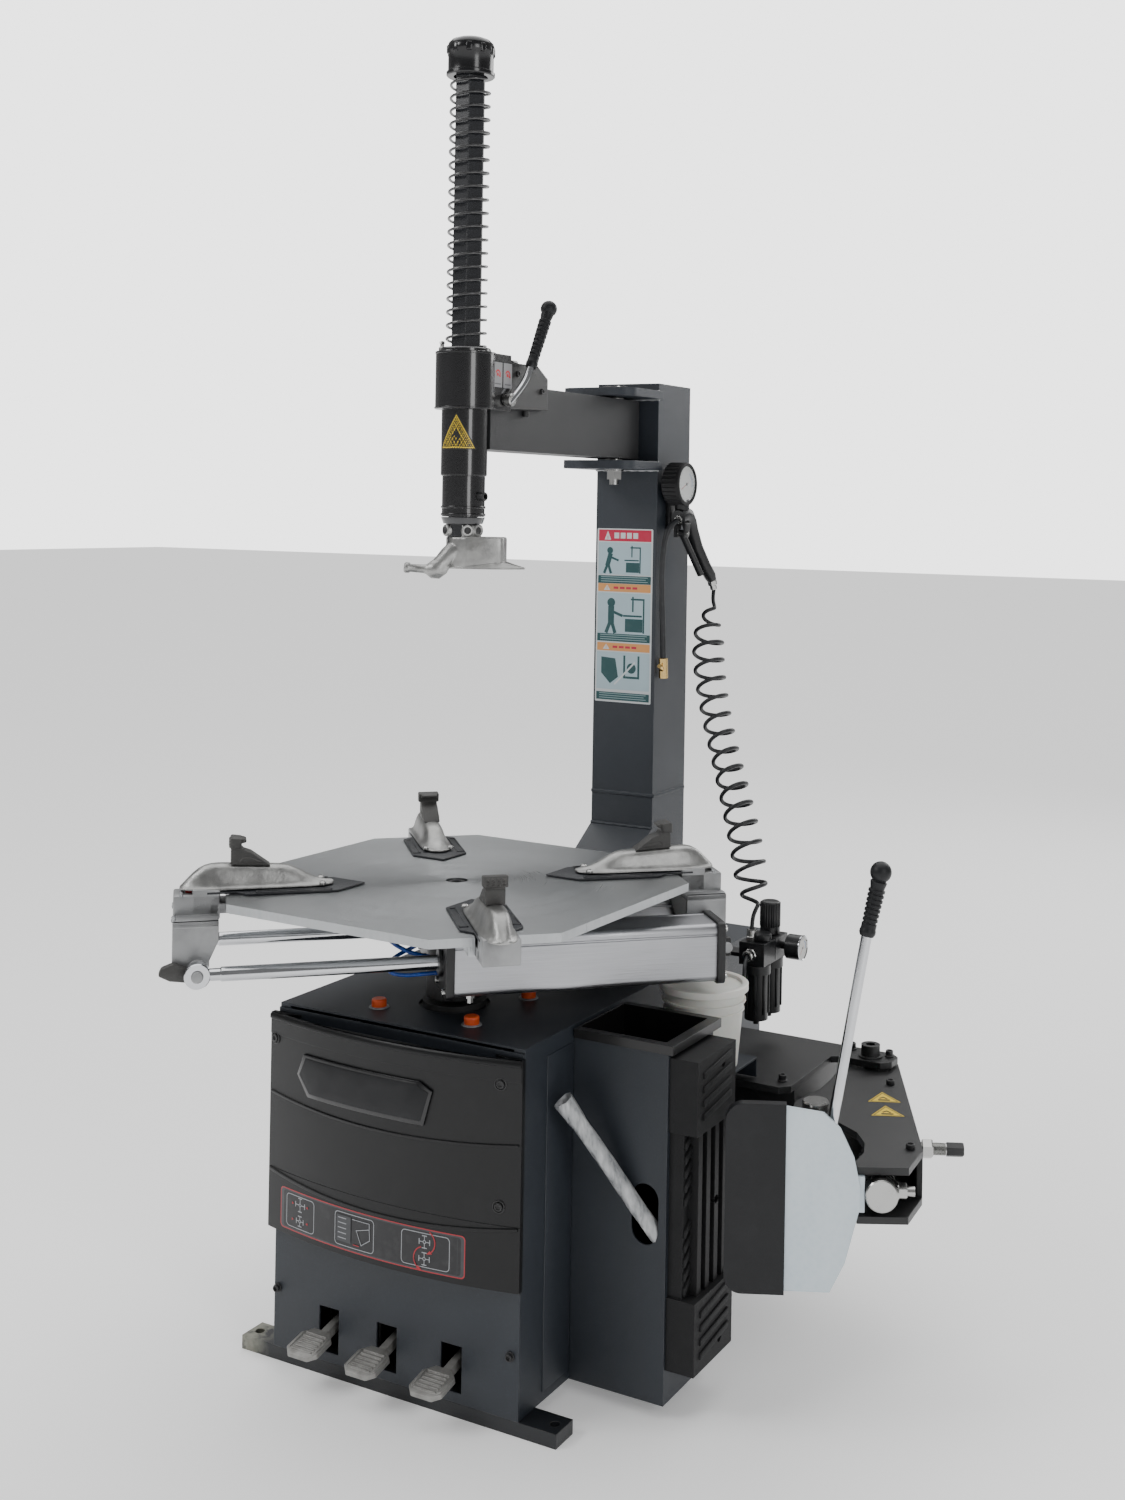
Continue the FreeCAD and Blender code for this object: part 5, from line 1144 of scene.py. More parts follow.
weld(fork_welds, (-0.03, 0.500, 1.4545), (0.035, 0.500, 1.4545), (0, 0, 1), 0.006, 0.0018)
fork_welds.done("fork_welds", "frame", weld_steel, "galvanised")
wear(nodes["arm_pivot_pin"], zinc)

rear_cover = Shape()
rear_cover.block((-0.150, cabinet_high.y - 0.0005, 0.120), (0.140, cabinet_high.y + 0.0012, 0.470),
    bevel=0.0005)
for k in range(9):
    rear_cover.block((-0.09, cabinet_high.y + 0.0006, 0.21 + k * 0.022),
        (0.08, cabinet_high.y + 0.0042, 0.219 + k * 0.022), bevel=0.0016)
rear_cover.done("rear_cover", "frame", navy_coat, "powder_coat")
rear_screws = Shape()
for x in (-0.138, 0.128):
    for z in (0.132, 0.458):
        at = Vector((x, cabinet_high.y + 0.0012, z))
        bolt_head(rear_screws, facing(at, at + Vector((0, 1, 0))), 0.010, 0.004, washer=0.0065)
rear_screws.done("rear_cover_screws", "frame", screw_black, "black_steel")

# The notice on the column is a plain panel of coloured bands with line drawings and no words.
notice_low, notice_high = 0.914, 1.216
notice_left, notice_right = -0.057, 0.0535
ink_white = (0.60, 0.63, 0.64)
ink_blue = (0.40, 0.52, 0.57)
ink_teal = (0.012, 0.070, 0.075)
ink_orange = (0.66, 0.30, 0.10)
ink_crimson = (0.50, 0.015, 0.055)


def worker(sheet, x, z, size, lean):
    """A figure at work: head, trunk, two legs and an arm held out."""
    sheet.disc(ink_teal, x, z + size * 0.82, size * 0.13)
    sheet.stroke(ink_teal, [(x, z + size * 0.62), (x - lean, z + size * 0.32)], size * 0.2)
    for step in (-0.14, 0.12):
        sheet.stroke(ink_teal, [(x - lean, z + size * 0.34), (x - lean + size * step, z)], size * 0.11)
    sheet.stroke(ink_teal, [(x, z + size * 0.58), (x + size * 0.34, z + size * 0.46)], size * 0.08)


def machine(sheet, x, z, size):
    """The machine itself in outline: base, table, post and arm."""
    sheet.panel(ink_teal, x, z, x + size * 0.55, z + size * 0.36)
    sheet.stroke(ink_teal, [(x - size * 0.04, z + size * 0.44), (x + size * 0.5, z + size * 0.44)],
        size * 0.05)
    sheet.stroke(ink_teal,
        [(x + size * 0.58, z), (x + size * 0.58, z + size * 0.9), (x + size * 0.2, z + size * 0.9)],
        size * 0.05)
    sheet.stroke(ink_teal, [(x + size * 0.24, z + size * 0.95), (x + size * 0.24, z + size * 0.58)],
        size * 0.05)


notice = Print(lambda x, z, lift: Vector((x, column_front - lift, z)))
notice.panel(ink_white, notice_left, notice_low, notice_right, notice_high, 0.002)
notice_inner = (notice_left + 0.003, notice_right - 0.003)
for index, (band, top, deep) in enumerate(
        ((ink_crimson, 0.300, 0.020), (ink_orange, 0.206, 0.014), (ink_orange, 0.103, 0.014))):
    z = notice_low + top
    notice.panel(band, notice_inner[0], z - deep, notice_inner[1], z, 0.001)
    mark_x = notice_left + 0.021
    notice.area(ink_white,
        [(mark_x - 0.0065, z - deep + 0.0025), (mark_x + 0.0065, z - deep + 0.0025), (mark_x, z - 0.0022)])
    notice.stroke(band, [(mark_x, z - deep + 0.0085), (mark_x, z - deep + 0.0045)], 0.0012)
    for k in range(4):
        notice.panel(ink_white if index == 0 else ink_crimson, mark_x + 0.013 + k * 0.0125,
            z - deep + 0.005, mark_x + 0.0225 + k * 0.0125, z - 0.005)
for index, (low, high) in enumerate(((0.222, 0.278), (0.119, 0.190), (0.022, 0.087))):
    notice.panel(ink_blue, notice_inner[0], notice_low + low, notice_inner[1], notice_low + high, 0.001)
    foot = notice_low + low + 0.004
    if index < 2:
        worker(notice, notice_left + 0.026 + index * 0.004, foot, high - low - 0.010, 0.004 - 0.004 * index)
        machine(notice, notice_left + 0.058, foot, high - low - 0.008)
    else:
        notice.area(ink_teal, [(notice_left + 0.012, foot + 0.052), (notice_left + 0.012, foot + 0.024),
                (notice_left + 0.030, foot + 0.006), (notice_left + 0.046, foot + 0.018),
                (notice_left + 0.040, foot + 0.050)])
        notice.stroke(ink_teal, [(notice_left + 0.058, foot + 0.054), (notice_left + 0.058, foot + 0.018),
                (notice_left + 0.086, foot + 0.018), (notice_left + 0.086, foot + 0.054)], 0.004)
        notice.disc(ink_teal, notice_left + 0.072, foot + 0.034, 0.009)
        notice.stroke(ink_white, [(notice_left + 0.04, foot + 0.006), (notice_left + 0.078, foot + 0.044)],
            0.003)
line_indent = 0.006
for low in (0.2075, 0.1065, 0.0045):
    notice.panel(ink_teal, notice_inner[0], notice_low + low - 0.001, notice_inner[1],
        notice_low + low + 0.0125)
    for row in range(3):
        z = notice_low + low + 0.0018 + row * 0.0038
        notice.panel((0.22, 0.32, 0.33), notice_inner[0] + line_indent, z,
            notice_inner[1] - line_indent - 0.004 * (row % 2), z + 0.0014)
notice.done("column_notice", "frame", printed, "white_plastic")

# ---- Swing arm
# A welded box arm in dark grey enamel. Its glossy black head holds a sleeve for the shaft, and the
# shaft's lock sits beside it under a cover, worked by a chromed lever with a ribbed plastic grip.
arm_grey = powder_coat("arm_enamel", (0.015, 0.0155, 0.017), (0.10, 0.10, 0.10), 0.42, 0.5)
wear(nodes["swing_arm"], arm_grey)


def enamel(name, colour, orange_peel=0.0001):
    finish = Finish(name, Coat_Weight=0.85, Coat_Roughness=0.06)
    edge = finish.edges(0.0022)
    streaks = finish.cloud(11, 4)
    chips = (finish.cloud(130, 5) > 0.66) * edge
    finish.bump(finish.cloud(160, 2), orange_peel)
    base = finish.blend(streaks, [c * 0.7 for c in colour], [c * 1.4 for c in colour])
    return finish.surface(Base_Color=finish.blend(chips, base, (0.14, 0.14, 0.14)),
        Roughness=streaks * 0.1 + chips * 0.3 + 0.2)


gloss_black = enamel("gloss_black_enamel", (0.006, 0.006, 0.007))
for name in ("arm_housing", "guide_sleeve"):
    wear(nodes[name], gloss_black)
wear(nodes["lock_cover"], powder_coat("cover_enamel", (0.022, 0.022, 0.022), (0.13, 0.13, 0.13), 0.38))
head_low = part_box("arm_housing")[0]
head_radius = 0.044
collar_radius = 0.0315

head_details = Shape()
for z, r, high in ((head_low.z + 0.0004, head_radius, 0.003), (1.4748, head_radius - 0.0005, 0.0042)):
    head_details.turned([(r, 0), (r + 0.0012, 0.0006), (r + 0.0012, high - 0.0006), (r, high), (r, 0)],
        Matrix.Translation((0, 0, z)), 72)
head_details.turned(
    [(0.0330, 0), (0.0372, 0), (0.0372, 0.0045), (0.0355, 0.0065), (0.0330, 0.0065), (0.0330, 0)],
    Matrix.Translation((0, 0, 1.4784)), 64)
for z, r in ((1.2955, collar_radius), (1.2372, collar_radius), (1.2480, collar_radius)):
    head_details.turned([(r, 0), (r + 0.0014, 0.0006), (r + 0.0014, 0.0034), (r, 0.004), (r, 0)],
        Matrix.Translation((0, 0, z)), 64)
head_details.block((-0.030, 0.064, 1.4681), (-0.004, 0.094, 1.4755), bevel=0.003)
head_details.block((0.004, 0.070, 1.4681), (0.030, 0.098, 1.4735), bevel=0.003)
head_details.done("head_rims", "arm", gloss_black, "gloss_black")

head_screws = Shape()
at = Vector((collar_radius - 0.001, -0.004, 1.266))
bolt_head(head_screws, facing(at, at + Vector((1, -0.1, 0))), 0.013, 0.012)
for x, y, z in ((0.018, 0.112, 1.3975), (-0.022, 0.150, 1.4005)):
    at = Vector((x + 0.017, y, z))
    bolt_head(head_screws, facing(at, at - Vector((0, 0, 1))), 0.011, 0.008)
for y, z in ((0.078, 1.452), (0.148, 1.430)):
    at = Vector((0.041, y, z))
    bolt_head(head_screws, facing(at, at + Vector((1, 0, 0))), 0.009, 0.003)
head_screws.done("head_screws", "arm", screw_black, "black_steel")
grease_nipple = Shape()
grease_nipple.turned([(0, 0), (0.0056, 0), (0.0056, 0.006)], Matrix.Translation((-0.0385, -0.006, 1.4785)), 6)
grease_nipple.turned([(0.0056, 0.006), (0.0042, 0.0085), (0.003, 0.010), (0.003, 0.013), (0.0042, 0.0145),
        (0.0036, 0.017), (0, 0.018)], Matrix.Translation((-0.0385, -0.006, 1.4785)), 20)
grease_nipple.done("grease_nipple", "arm", zinc, "galvanised")


def on_sleeve(x, z, lift):
    angle = (x - 0.008) / 0.034
    radius = 0.034 + lift
    return Vector((radius * math.sin(angle + 0.235), -radius * math.cos(angle + 0.235), z))


ink_yellow = (0.80, 0.56, 0.02)


def hazard_triangle(sheet, x, z, size):
    """A yellow triangle in a black one, with a plain drawing of a tyre and a hand over it."""
    tall = size * 0.866
    for ink, grow in ((ink_black, 1.0), (ink_yellow, 0.90), (ink_black, 0.80), (ink_yellow, 0.70)):
        sheet.area(ink, [(x - size / 2 * grow, z - tall / 3 * grow),
                (x + size / 2 * grow, z - tall / 3 * grow), (x, z + tall * 2 / 3 * grow)])
    sheet.panel(ink_black, x - size * 0.17, z - tall * 0.19, x + size * 0.17, z - tall * 0.07, size * 0.04)
    sheet.stroke(ink_black,
        [(x - size * 0.10, z + tall * 0.02), (x, z + tall * 0.12), (x + size * 0.08, z)], size * 0.06)


sleeve_sign = Print(on_sleeve, 0.006)
hazard_triangle(sleeve_sign, 0.008, 1.3525, 0.0625)
sleeve_sign.done("sleeve_sign", "arm", printed, "gloss_black")
turn_sign = Print(lambda y, z, lift: Vector((0.041 + lift, y, z)))
for middle in (0.0245, 0.0505):
    turn_sign.panel((0.28, 0.28, 0.29), middle - 0.0115, 1.4285, middle + 0.0115, 1.4655, 0.001)
    turn_sign.arrow_arc((0.6, 0.02, 0.03), middle, 1.448, 0.0055, 150, -20, 0.0024)
    turn_sign.disc((0.6, 0.02, 0.03), middle - 0.001, 1.4475, 0.0026)
    turn_sign.panel((0.12, 0.12, 0.13), middle - 0.008, 1.4325, middle + 0.008, 1.4345)
turn_sign.done("turn_sign", "arm", printed, "gloss_black")

grip_black = moulded("ribbed_grip", (0.010, 0.0105, 0.012), 0.42, 900, 0.0002)


def ribbed_grip(shape, low, high, r_low, r_high, knob, ribs):
    """A tapered grip with rings along it and a ball end."""
    long = (Vector(high) - Vector(low)).length
    profile = [(0, -0.002), (r_low * 0.9, -0.002), (r_low * 1.08, 0.002), (r_low * 1.08, 0.006),
        (r_low, 0.008)]
    for k in range(ribs):
        z = 0.012 + (long - knob - 0.018) * k / ribs
        wide = (long - knob - 0.018) / ribs
        r = r_low + (r_high - r_low) * k / ribs
        profile += [(r, z), (r, z + wide * 0.5), (r * 0.86, z + wide * 0.6), (r * 0.86, z + wide * 0.9)]
    profile += [(r_high, long - knob * 0.9)]
    profile += [(knob * math.cos(a), long + knob * math.sin(a))
        for a in (math.radians(t) for t in range(-50, 91, 14))]
    shape.turned(profile + [(0, long + knob)], facing(low, high), 36)


lever_at = Vector((0.0415, 0.046, 1.411))
lever_grip = (Vector((0.0535, 0.096, 1.465)), Vector((0.0535, 0.144, 1.557)))
lever_end = lever_grip[0] + (lever_grip[1] - lever_grip[0]) * 0.06
lever = strand("lock_shank",
    [(0.0505, 0.040, 1.406), (0.0525, 0.058, 1.421), (0.0535, 0.081, 1.442), lever_grip[0], lever_end],
    0.0052)
wear(lever, chrome)
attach(lever, "lock_lever")
lever_hub = Shape()
lever_hub.turned([(0, -0.008), (0.0069, -0.008), (0.0069, 0.002), (0.0098, 0.003), (0.0098, 0.0118),
        (0.0085, 0.0134), (0, 0.0134)], facing(lever_at, lever_at + Vector((1, 0, 0))), 36)
lever_hub.done("lock_hub", "lock_lever", zinc, "chrome")
lever_grip_piece = Shape()
ribbed_grip(lever_grip_piece, lever_grip[0], lever_grip[1], 0.0085, 0.0098, 0.0128, 9)
lever_grip_piece.done("lock_grip", "lock_lever", grip_black, "black_plastic", replaces=["lock_lever"])

# ---- Shaft and mount head
# A hexagonal steel shaft in black, pushed up by an open coil spring under a screwed plastic cap. The
# cast mount head at its lower end has a wing that guides the tyre's bead and a rolled finger.
shaft_black = enamel("shaft_black", (0.012, 0.013, 0.016), 0.00005)
wear(nodes["hex_shaft"], shaft_black)
wear(nodes["return_spring"], enamel("spring_black", (0.008, 0.008, 0.009)))
cap_low, cap_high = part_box("shaft_cap")
cap = Shape()
tall = cap_high.z - cap_low.z
cap.turned([(0.0252, 0), (0.0345, 0), (0.0358, 0.0015), (0.0358, 0.006), (0.0335, 0.0075), (0.0335, 0.0325),
        (0.0352, 0.035), (0.0352, 0.043), (0.0330, 0.049), (0.0285, 0.0535), (0.0215, 0.0562),
        (0.0205, 0.0548), (0.0120, 0.0555), (0, 0.0560)], Matrix.Translation((0, 0, cap_low.z)), 72)
for k in range(10):
    turn = Matrix.Rotation(2 * math.pi * k / 10 + 0.2, 4, "Z")
    cap.block((0.0315, -0.0042, 0.0315), (0.0362, 0.0042, 0.0445),
        Matrix.Translation((0, 0, cap_low.z)) @ turn, bevel=0.0018)
cap.done("shaft_top_cap", "shaft", gloss_plastic, "black_plastic", replaces=["shaft_cap"], crease=40)

head_turn = Matrix.Rotation(math.radians(20), 4, "Z")
mount_ring = Shape()
mount_ring.turned(
    [(0.0235, 1.2255), (0.0290, 1.2255), (0.0322, 1.2345), (0.0322, 1.2352), (0.0235, 1.2352)], head_turn,
    64)
mount_ring.turned([(0, 1.2070), (0.0248, 1.2070), (0.0248, 1.2262), (0, 1.2262)], head_turn, 56)
mount_ring.done("mount_ring", "shaft", shaft_black, "gloss_black")


def limb(points):
    """Round sections of changing radius along a bent arm."""
    count = 20
    sections = []
    for k, (point, radius) in enumerate(points):
        before, after = points[max(k - 1, 0)][0], points[min(k + 1, len(points) - 1)][0]
        way = facing(before, after).to_3x3()
        sections.append([Vector(point) + way @ Vector((radius * math.cos(2 * math.pi * i / count),
                    radius * math.sin(2 * math.pi * i / count), 0)) for i in range(count)])
    return sections


head_floor, head_shoulder, head_neck = 1.1600, 1.2068, 1.2250
mount = Shape()
mount.pressed([(-0.024, -0.006), (-0.010, -0.024), (0.013, -0.0305), (0.030, -0.0265), (0.060, -0.016),
        (0.064, -0.012), (0.064, 0.014), (0.058, 0.019), (0.020, 0.0285), (-0.012, 0.024), (-0.024, 0.012)],
    head_floor + 0.002, head_shoulder, head_turn, bevel=0.0028, segments=3)
mount.lofted([[(x, -w, head_floor), (x, -w, head_floor + 0.0022), (x, -w * 0.5, head_floor + rise),
            (x, w * 0.5, head_floor + rise), (x, w, head_floor + 0.0022), (x, w, head_floor)] for x, w, rise in (
            (-0.016, 0.0255, 0.010), (0.016, 0.032, 0.012), (0.052, 0.0275, 0.0125),
            (0.066, 0.0215, 0.0105), (0.078, 0.015, 0.0068), (0.088, 0.0085, 0.0042),
            (0.0945, 0.0025, 0.0026))], head_turn, bevel=0.0008)
mount.lofted(limb([((0.004, -0.006, 1.192), 0.0165), ((-0.008, -0.012, 1.186), 0.0160),
            ((-0.0175, -0.0165, 1.1775), 0.0140), ((-0.0240, -0.0200, 1.1690), 0.0130),
            ((-0.0285, -0.0225, 1.1620), 0.0142), ((-0.0325, -0.0245, 1.1585), 0.0148),
            ((-0.0400, -0.0262, 1.1580), 0.0128), ((-0.0455, -0.0272, 1.1585), 0.0082),
            ((-0.0490, -0.0278, 1.1588), 0.0066), ((-0.0690, -0.0318, 1.1600), 0.0058),
            ((-0.0715, -0.0323, 1.1602), 0.0078), ((-0.0765, -0.0333, 1.1606), 0.0080),
            ((-0.0785, -0.0337, 1.1608), 0.0062)]), head_turn)
bore_angles = [math.radians(angle) for angle in (-116, -42, -6, 64, 118, 176)]
bore_z_mount = (head_shoulder + head_neck) / 2
for angle in bore_angles:
    way = Vector((math.cos(angle), math.sin(angle), 0))
    at = Vector((0, 0, bore_z_mount))
    mount.turned([(0, 0.016), (0.0088, 0.016), (0.0088, 0.0288), (0.0078, 0.0300), (0, 0.0300)],
        facing(at, at + way), 28)
for first, last in ((-50, 2), (56, 126)):
    for edge in range(first, last, 8):
        angle = math.radians(edge)
        way = Matrix.Rotation(angle, 4, "Z")
        mount.block((0.018, -0.0040, head_shoulder - 0.001), (0.0278, 0.0040, head_neck - 0.001), way,
            bevel=0.0012)
mount.done("mounting_head", "shaft", cast_bright, "cast_steel", replaces=["mount_head"], crease=50)
head_bores = Shape()
for angle in bore_angles:
    way = Vector((math.cos(angle), math.sin(angle), 0))
    at = way * 0.0299 + Vector((0, 0, bore_z_mount))
    head_bores.turned([(0.0044, 0.0004), (0.0052, 0.0004), (0.0050, 0.0008), (0.0038, 0.0003), (0, 0.0003)],
        facing(at, at + way), 20)
head_bores.done("mount_set_screws", "shaft", screw_black, "black_steel")

# ---- Bead breaker
# Two plates and a web welded round a hub swing on a bolt between the cabinet's support plates. A
# cylinder in the cabinet pulls the arm in. The galvanised blade has a black plastic cover and a handle.
for name in ("bb_support", "bb_arm"):
    wear(nodes[name], black_steel)
wear(nodes["bb_blade_cover"], moulded("blade_cover_plastic", (0.010, 0.0105, 0.012), 0.4, 700, 0.0003))
wear(nodes["bb_cylinder"], drawn_metal("bead_barrel", (0.45, 0.455, 0.475), 0.36, 0.0, (4, 200, 200)))
wear(nodes["bb_rod"], chrome)
zinc_sheet = Finish("galvanised_sheet", Metallic=0.65)
zinc_edge = zinc_sheet.edges(0.0015)
spangle = zinc_sheet.node("ShaderNodeTexVoronoi", sockets={"Vector": zinc_sheet.place(), "Scale": 120.0},
    out=0)
zinc_cloud = zinc_sheet.cloud(9, 5, stretch=(1, 1, 0.4))
zinc_sheet.bump(zinc_sheet.cloud(60, 4), 0.0005)
zinc_tone = zinc_sheet.blend(zinc_cloud.within(0.3, 0.7), (0.46, 0.54, 0.60), (0.62, 0.70, 0.745))
zinc_tone = zinc_sheet.blend(spangle.within(0.1, 0.7) * 0.18, zinc_tone, (0.75, 0.8, 0.83))
zinc_sheet.surface(Base_Color=zinc_sheet.blend(zinc_edge * 0.4, zinc_tone, (0.8, 0.82, 0.84)),
    Roughness=zinc_cloud * 0.2 + 0.34)
wear(nodes["bb_blade"], zinc_sheet)
arm_pivot = Vector((0.473, 0.475, 0))
arm_place = Matrix.Translation(arm_pivot) @ Matrix.Rotation(math.radians(25.2), 4, "Z")
arm_upper = 0.372

arm_pins = Shape()
arm_pins.turned([(0, 0.296), (0.012, 0.296), (0.012, 0.3725), (0.0195, 0.3725), (0.020, 0.374),
        (0.020, 0.382), (0.0185, 0.384), (0, 0.384)], arm_place @ Matrix.Translation((-0.096, -0.200, 0)),
    48)
bar_place = arm_place @ Matrix.Translation((-0.018, -0.430, 0.338)) @ Matrix.Rotation(-math.pi / 2, 4, "X")
arm_pins.turned([(0, 0), (0.0205, 0), (0.022, 0.0015), (0.022, 0.045), (0.0212, 0.0458), (0.0212, 0.0472),
        (0.022, 0.048), (0.022, 0.1285), (0.0205, 0.130), (0, 0.130)], bar_place, 56)
side_bolt = arm_place @ Matrix.Translation((-0.018, -0.407, 0.338)) @ Matrix.Rotation(math.pi / 2, 4, "Y")
arm_pins.turned([(0, 0.020), (0.0068, 0.020), (0.0068, 0.046), (0, 0.046)], side_bolt, 24)
bolt_head(arm_pins, side_bolt @ Matrix.Translation((0, 0, 0.0225)), 0.020, 0.011, socket=False, washer=0.0128)
stop_place = arm_place @ Matrix.Translation((0.038, -0.266, 0.343)) @ Matrix.Rotation(math.pi / 2, 4, "Y")
thread = [(0, 0.0)]
for k in range(34):
    z = 0.001 + k * 0.0014
    thread += [(0.0089, z), (0.0081, z + 0.0007)]
arm_pins.turned(thread + [(0.0085, 0.0490), (0.0085, 0.0495), (0, 0.0495)], stop_place, 24)
arm_pins.done("arm_pins", "bead_arm", zinc, "galvanised", replaces=["bb_arm_pins"])
stop_parts = Shape()
bolt_head(stop_parts, stop_place @ Matrix.Translation((0, 0, 0.0155)), 0.024, 0.0145, socket=False)
stop_parts.done("stop_nut", "bead_arm", zinc, "galvanised")
stop_rod = Shape()
stop_rod.turned(
    [(0, 0.0495), (0.0100, 0.0495), (0.0104, 0.0505), (0.0104, 0.0725), (0.009, 0.0742), (0, 0.0742)],
    stop_place, 6)
stop_rod.done("stop_head", "bead_arm", screw_black, "black_steel")

plate_bolts = Shape()
support_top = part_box("bb_arm")[1].z + 0.014
for x, y, across in ((0.4315, 0.497, 0.016), (0.4985, 0.492, 0.012), (0.397, 0.300, 0.012),
        (0.225, 0.490, 0.012)):
    bolt_head(plate_bolts, Matrix.Translation((x, y, support_top)), across, 0.008, washer=across * 0.62)
plate_bolts.done("support_bolts", "frame", screw_black, "black_steel")
arm_bolts = Shape()
for x, y in ((0.024, -0.085), (0.028, -0.345)):
    bolt_head(arm_bolts, arm_place @ Matrix.Translation((x, y, arm_upper)), 0.013, 0.007)
arm_bolts.done("arm_screws", "bead_arm", screw_black, "black_steel")


def on_arm(x, y, lift):
    """A point above the bead arm's upper plate, in the arm's own directions."""
    return arm_place @ Vector((x, y, arm_upper + lift))


arm_signs = Print(on_arm, 0.02)
for y in (-0.150, -0.208):
    hazard_triangle(arm_signs, 0.008, y, 0.054)
arm_signs.done("arm_signs", "bead_arm", printed, "black_steel")
support_weld = Shape()
for z in (0.2925, 0.3755):
    weld(support_weld, (cabinet_right + 0.001, 0.275, z), (cabinet_right + 0.001, 0.505, z), (1, 0, 0),
        0.007, 0.0025)
support_weld.done("support_welds", "frame", black_steel, "black_steel")

handle_y = -0.411
handle_grip = [arm_place @ Vector((x, handle_y + shift, z))
    for x, shift, z in ((-0.041, 0.012, 0.680), (-0.023, 0.016, 0.764))]
handle_route = [arm_place @ Vector((x, handle_y + shift, z))
    for x, shift, z in ((-0.086, 0, 0.381), (-0.086, 0, 0.402), (-0.084, 0, 0.426), (-0.079, 0.002, 0.458))]
handle = strand("handle_rod", [*handle_route, handle_grip[0]], 0.0074)
wear(handle, chrome)
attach(handle, "bead_arm")
handle_ends = Shape()
ribbed_grip(handle_ends, handle_grip[0], handle_grip[1], 0.0105, 0.0118, 0.0148, 8)
handle_ends.done("handle_grip", "bead_arm", grip_black, "black_plastic", replaces=["bb_handle"])
collar = Shape()
collar.turned([(0.0076, 0), (0.0125, 0), (0.0132, 0.001), (0.0132, 0.012), (0.0112, 0.015), (0.0076, 0.015),
        (0.0076, 0)],
    facing(arm_place @ Vector((-0.085, handle_y, 0.403)), arm_place @ Vector((-0.085, handle_y, 0.5))), 6)
collar.done("handle_nut", "bead_arm", zinc, "galvanised")

# ---- Air service unit
# A filter and an oiler side by side: die cast heads, bowls in black guards, a ribbed pressure knob,
# a small gauge that faces outwards and plated push-in fittings.
unit_black = moulded("service_unit_black", (0.010, 0.0105, 0.0115), 0.34, 900, 0.0002, 0.2)
unit_x, oiler_y, filter_y = 0.292, 0.432, 0.482
unit_gauge_z = 0.540
wear(nodes["frl_unit"], unit_black)
unit_details = Shape()
knob_low, knob_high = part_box("frl_knob")
for y in (oiler_y, filter_y):
    for k in range(8):
        turn = Matrix.Translation((unit_x, y, 0)) @ Matrix.Rotation(math.pi * k / 4 + 0.3, 4, "Z")
        unit_details.block((0.0175, -0.0022, 0.440), (0.0212, 0.0022, 0.505), turn, bevel=0.001)
    unit_details.turned(
        [(0.019, 0.503), (0.0225, 0.504), (0.0225, 0.5185), (0.021, 0.5195), (0.019, 0.5195)],
        Matrix.Translation((unit_x, y, 0)), 40)
    unit_details.turned(
        [(0, 0.4215), (0.0045, 0.4215), (0.0045, 0.427), (0.009, 0.4285), (0.0145, 0.4302), (0, 0.4302)],
        Matrix.Translation((unit_x, y, 0)), 24)
unit_details.block((0.2695, 0.4545, 0.5215), (0.3145, 0.4595, 0.5575), bevel=0.001)
unit_details.turned(
    [(0, 0.5562), (0.0145, 0.5562), (0.0155, 0.558), (0.0155, 0.566), (0.0142, 0.568), (0, 0.568)],
    Matrix.Translation((0.2985, 0.436, 0)), 32)
unit_details.done("service_unit_details", "frame", unit_black, "black_plastic")
knob = Shape()
tall = knob_high.z - knob_low.z
outline = []
for k in range(96):
    angle = 2 * math.pi * k / 96
    ribbed = 0.0165 + 0.0006 * math.copysign(1, math.sin(24 * angle))
    outline.append((ribbed * math.cos(angle), ribbed * math.sin(angle)))
knob.pressed(outline, knob_low.z + 0.012, knob_high.z - 0.002, Matrix.Translation((unit_x, filter_y, 0)),
    bevel=0.0004)
knob.turned([(0.0065, 0), (0.0158, 0), (0.0165, 0.001), (0.0165, 0.012), (0.0065, 0.012), (0.0065, 0)],
    Matrix.Translation((unit_x, filter_y, knob_low.z)), 40)
knob.turned(
    [(0, tall), (0.0135, tall), (0.0155, tall - 0.0012), (0.0162, tall - 0.0025), (0, tall - 0.0025)],
    Matrix.Translation((unit_x, filter_y, knob_low.z)), 40)
knob.done("pressure_knob", "regulator_knob", unit_black, "black_plastic", replaces=["frl_knob"])
fittings = Shape()
bolt_head(fittings, facing((unit_x, 0.4100, 0.538), (unit_x, 0.3, 0.538)), 0.0185, 0.007, socket=False)
fittings.turned([(0.0052, 0), (0.0085, 0), (0.0092, 0.001), (0.0092, 0.0078), (0.0075, 0.0092),
        (0.0048, 0.0094), (0.0048, 0)], facing((unit_x, 0.402, 0.538), (unit_x, 0.3, 0.538)), 28)
bolt_head(fittings, Matrix.Translation((0.284, 0.428, 0.5562)), 0.0175, 0.007, socket=False)
fittings.turned([(0.0052, 0), (0.0082, 0), (0.0082, 0.0095), (0.0070, 0.011), (0.0052, 0.011), (0.0052, 0)],
    Matrix.Translation((0.284, 0.428, 0.5632)), 28)
fittings.turned([(0.0032, 0), (0.0092, 0), (0.0098, 0.001), (0.0098, 0.006), (0.0078, 0.0075),
        (0.0032, 0.0075), (0.0032, 0)], facing((0.2055, 0.388, 0.462), (0.3, 0.388, 0.462)), 6)
fittings.done("hose_fittings", "frame", zinc, "galvanised")
gauge_ring = Shape()
gauge_ring.turned([(0.0185, 0.0225), (0.0200, 0.0225), (0.0205, 0.0235), (0.0205, 0.0252), (0.0192, 0.0258),
        (0.0180, 0.0246), (0.0180, 0.0236), (0.0185, 0.0225)],
    facing((0.326, filter_y, unit_gauge_z), (0.4, filter_y, unit_gauge_z)), 48)
gauge_ring.done("unit_gauge_rim", "frame", chrome, "chrome")
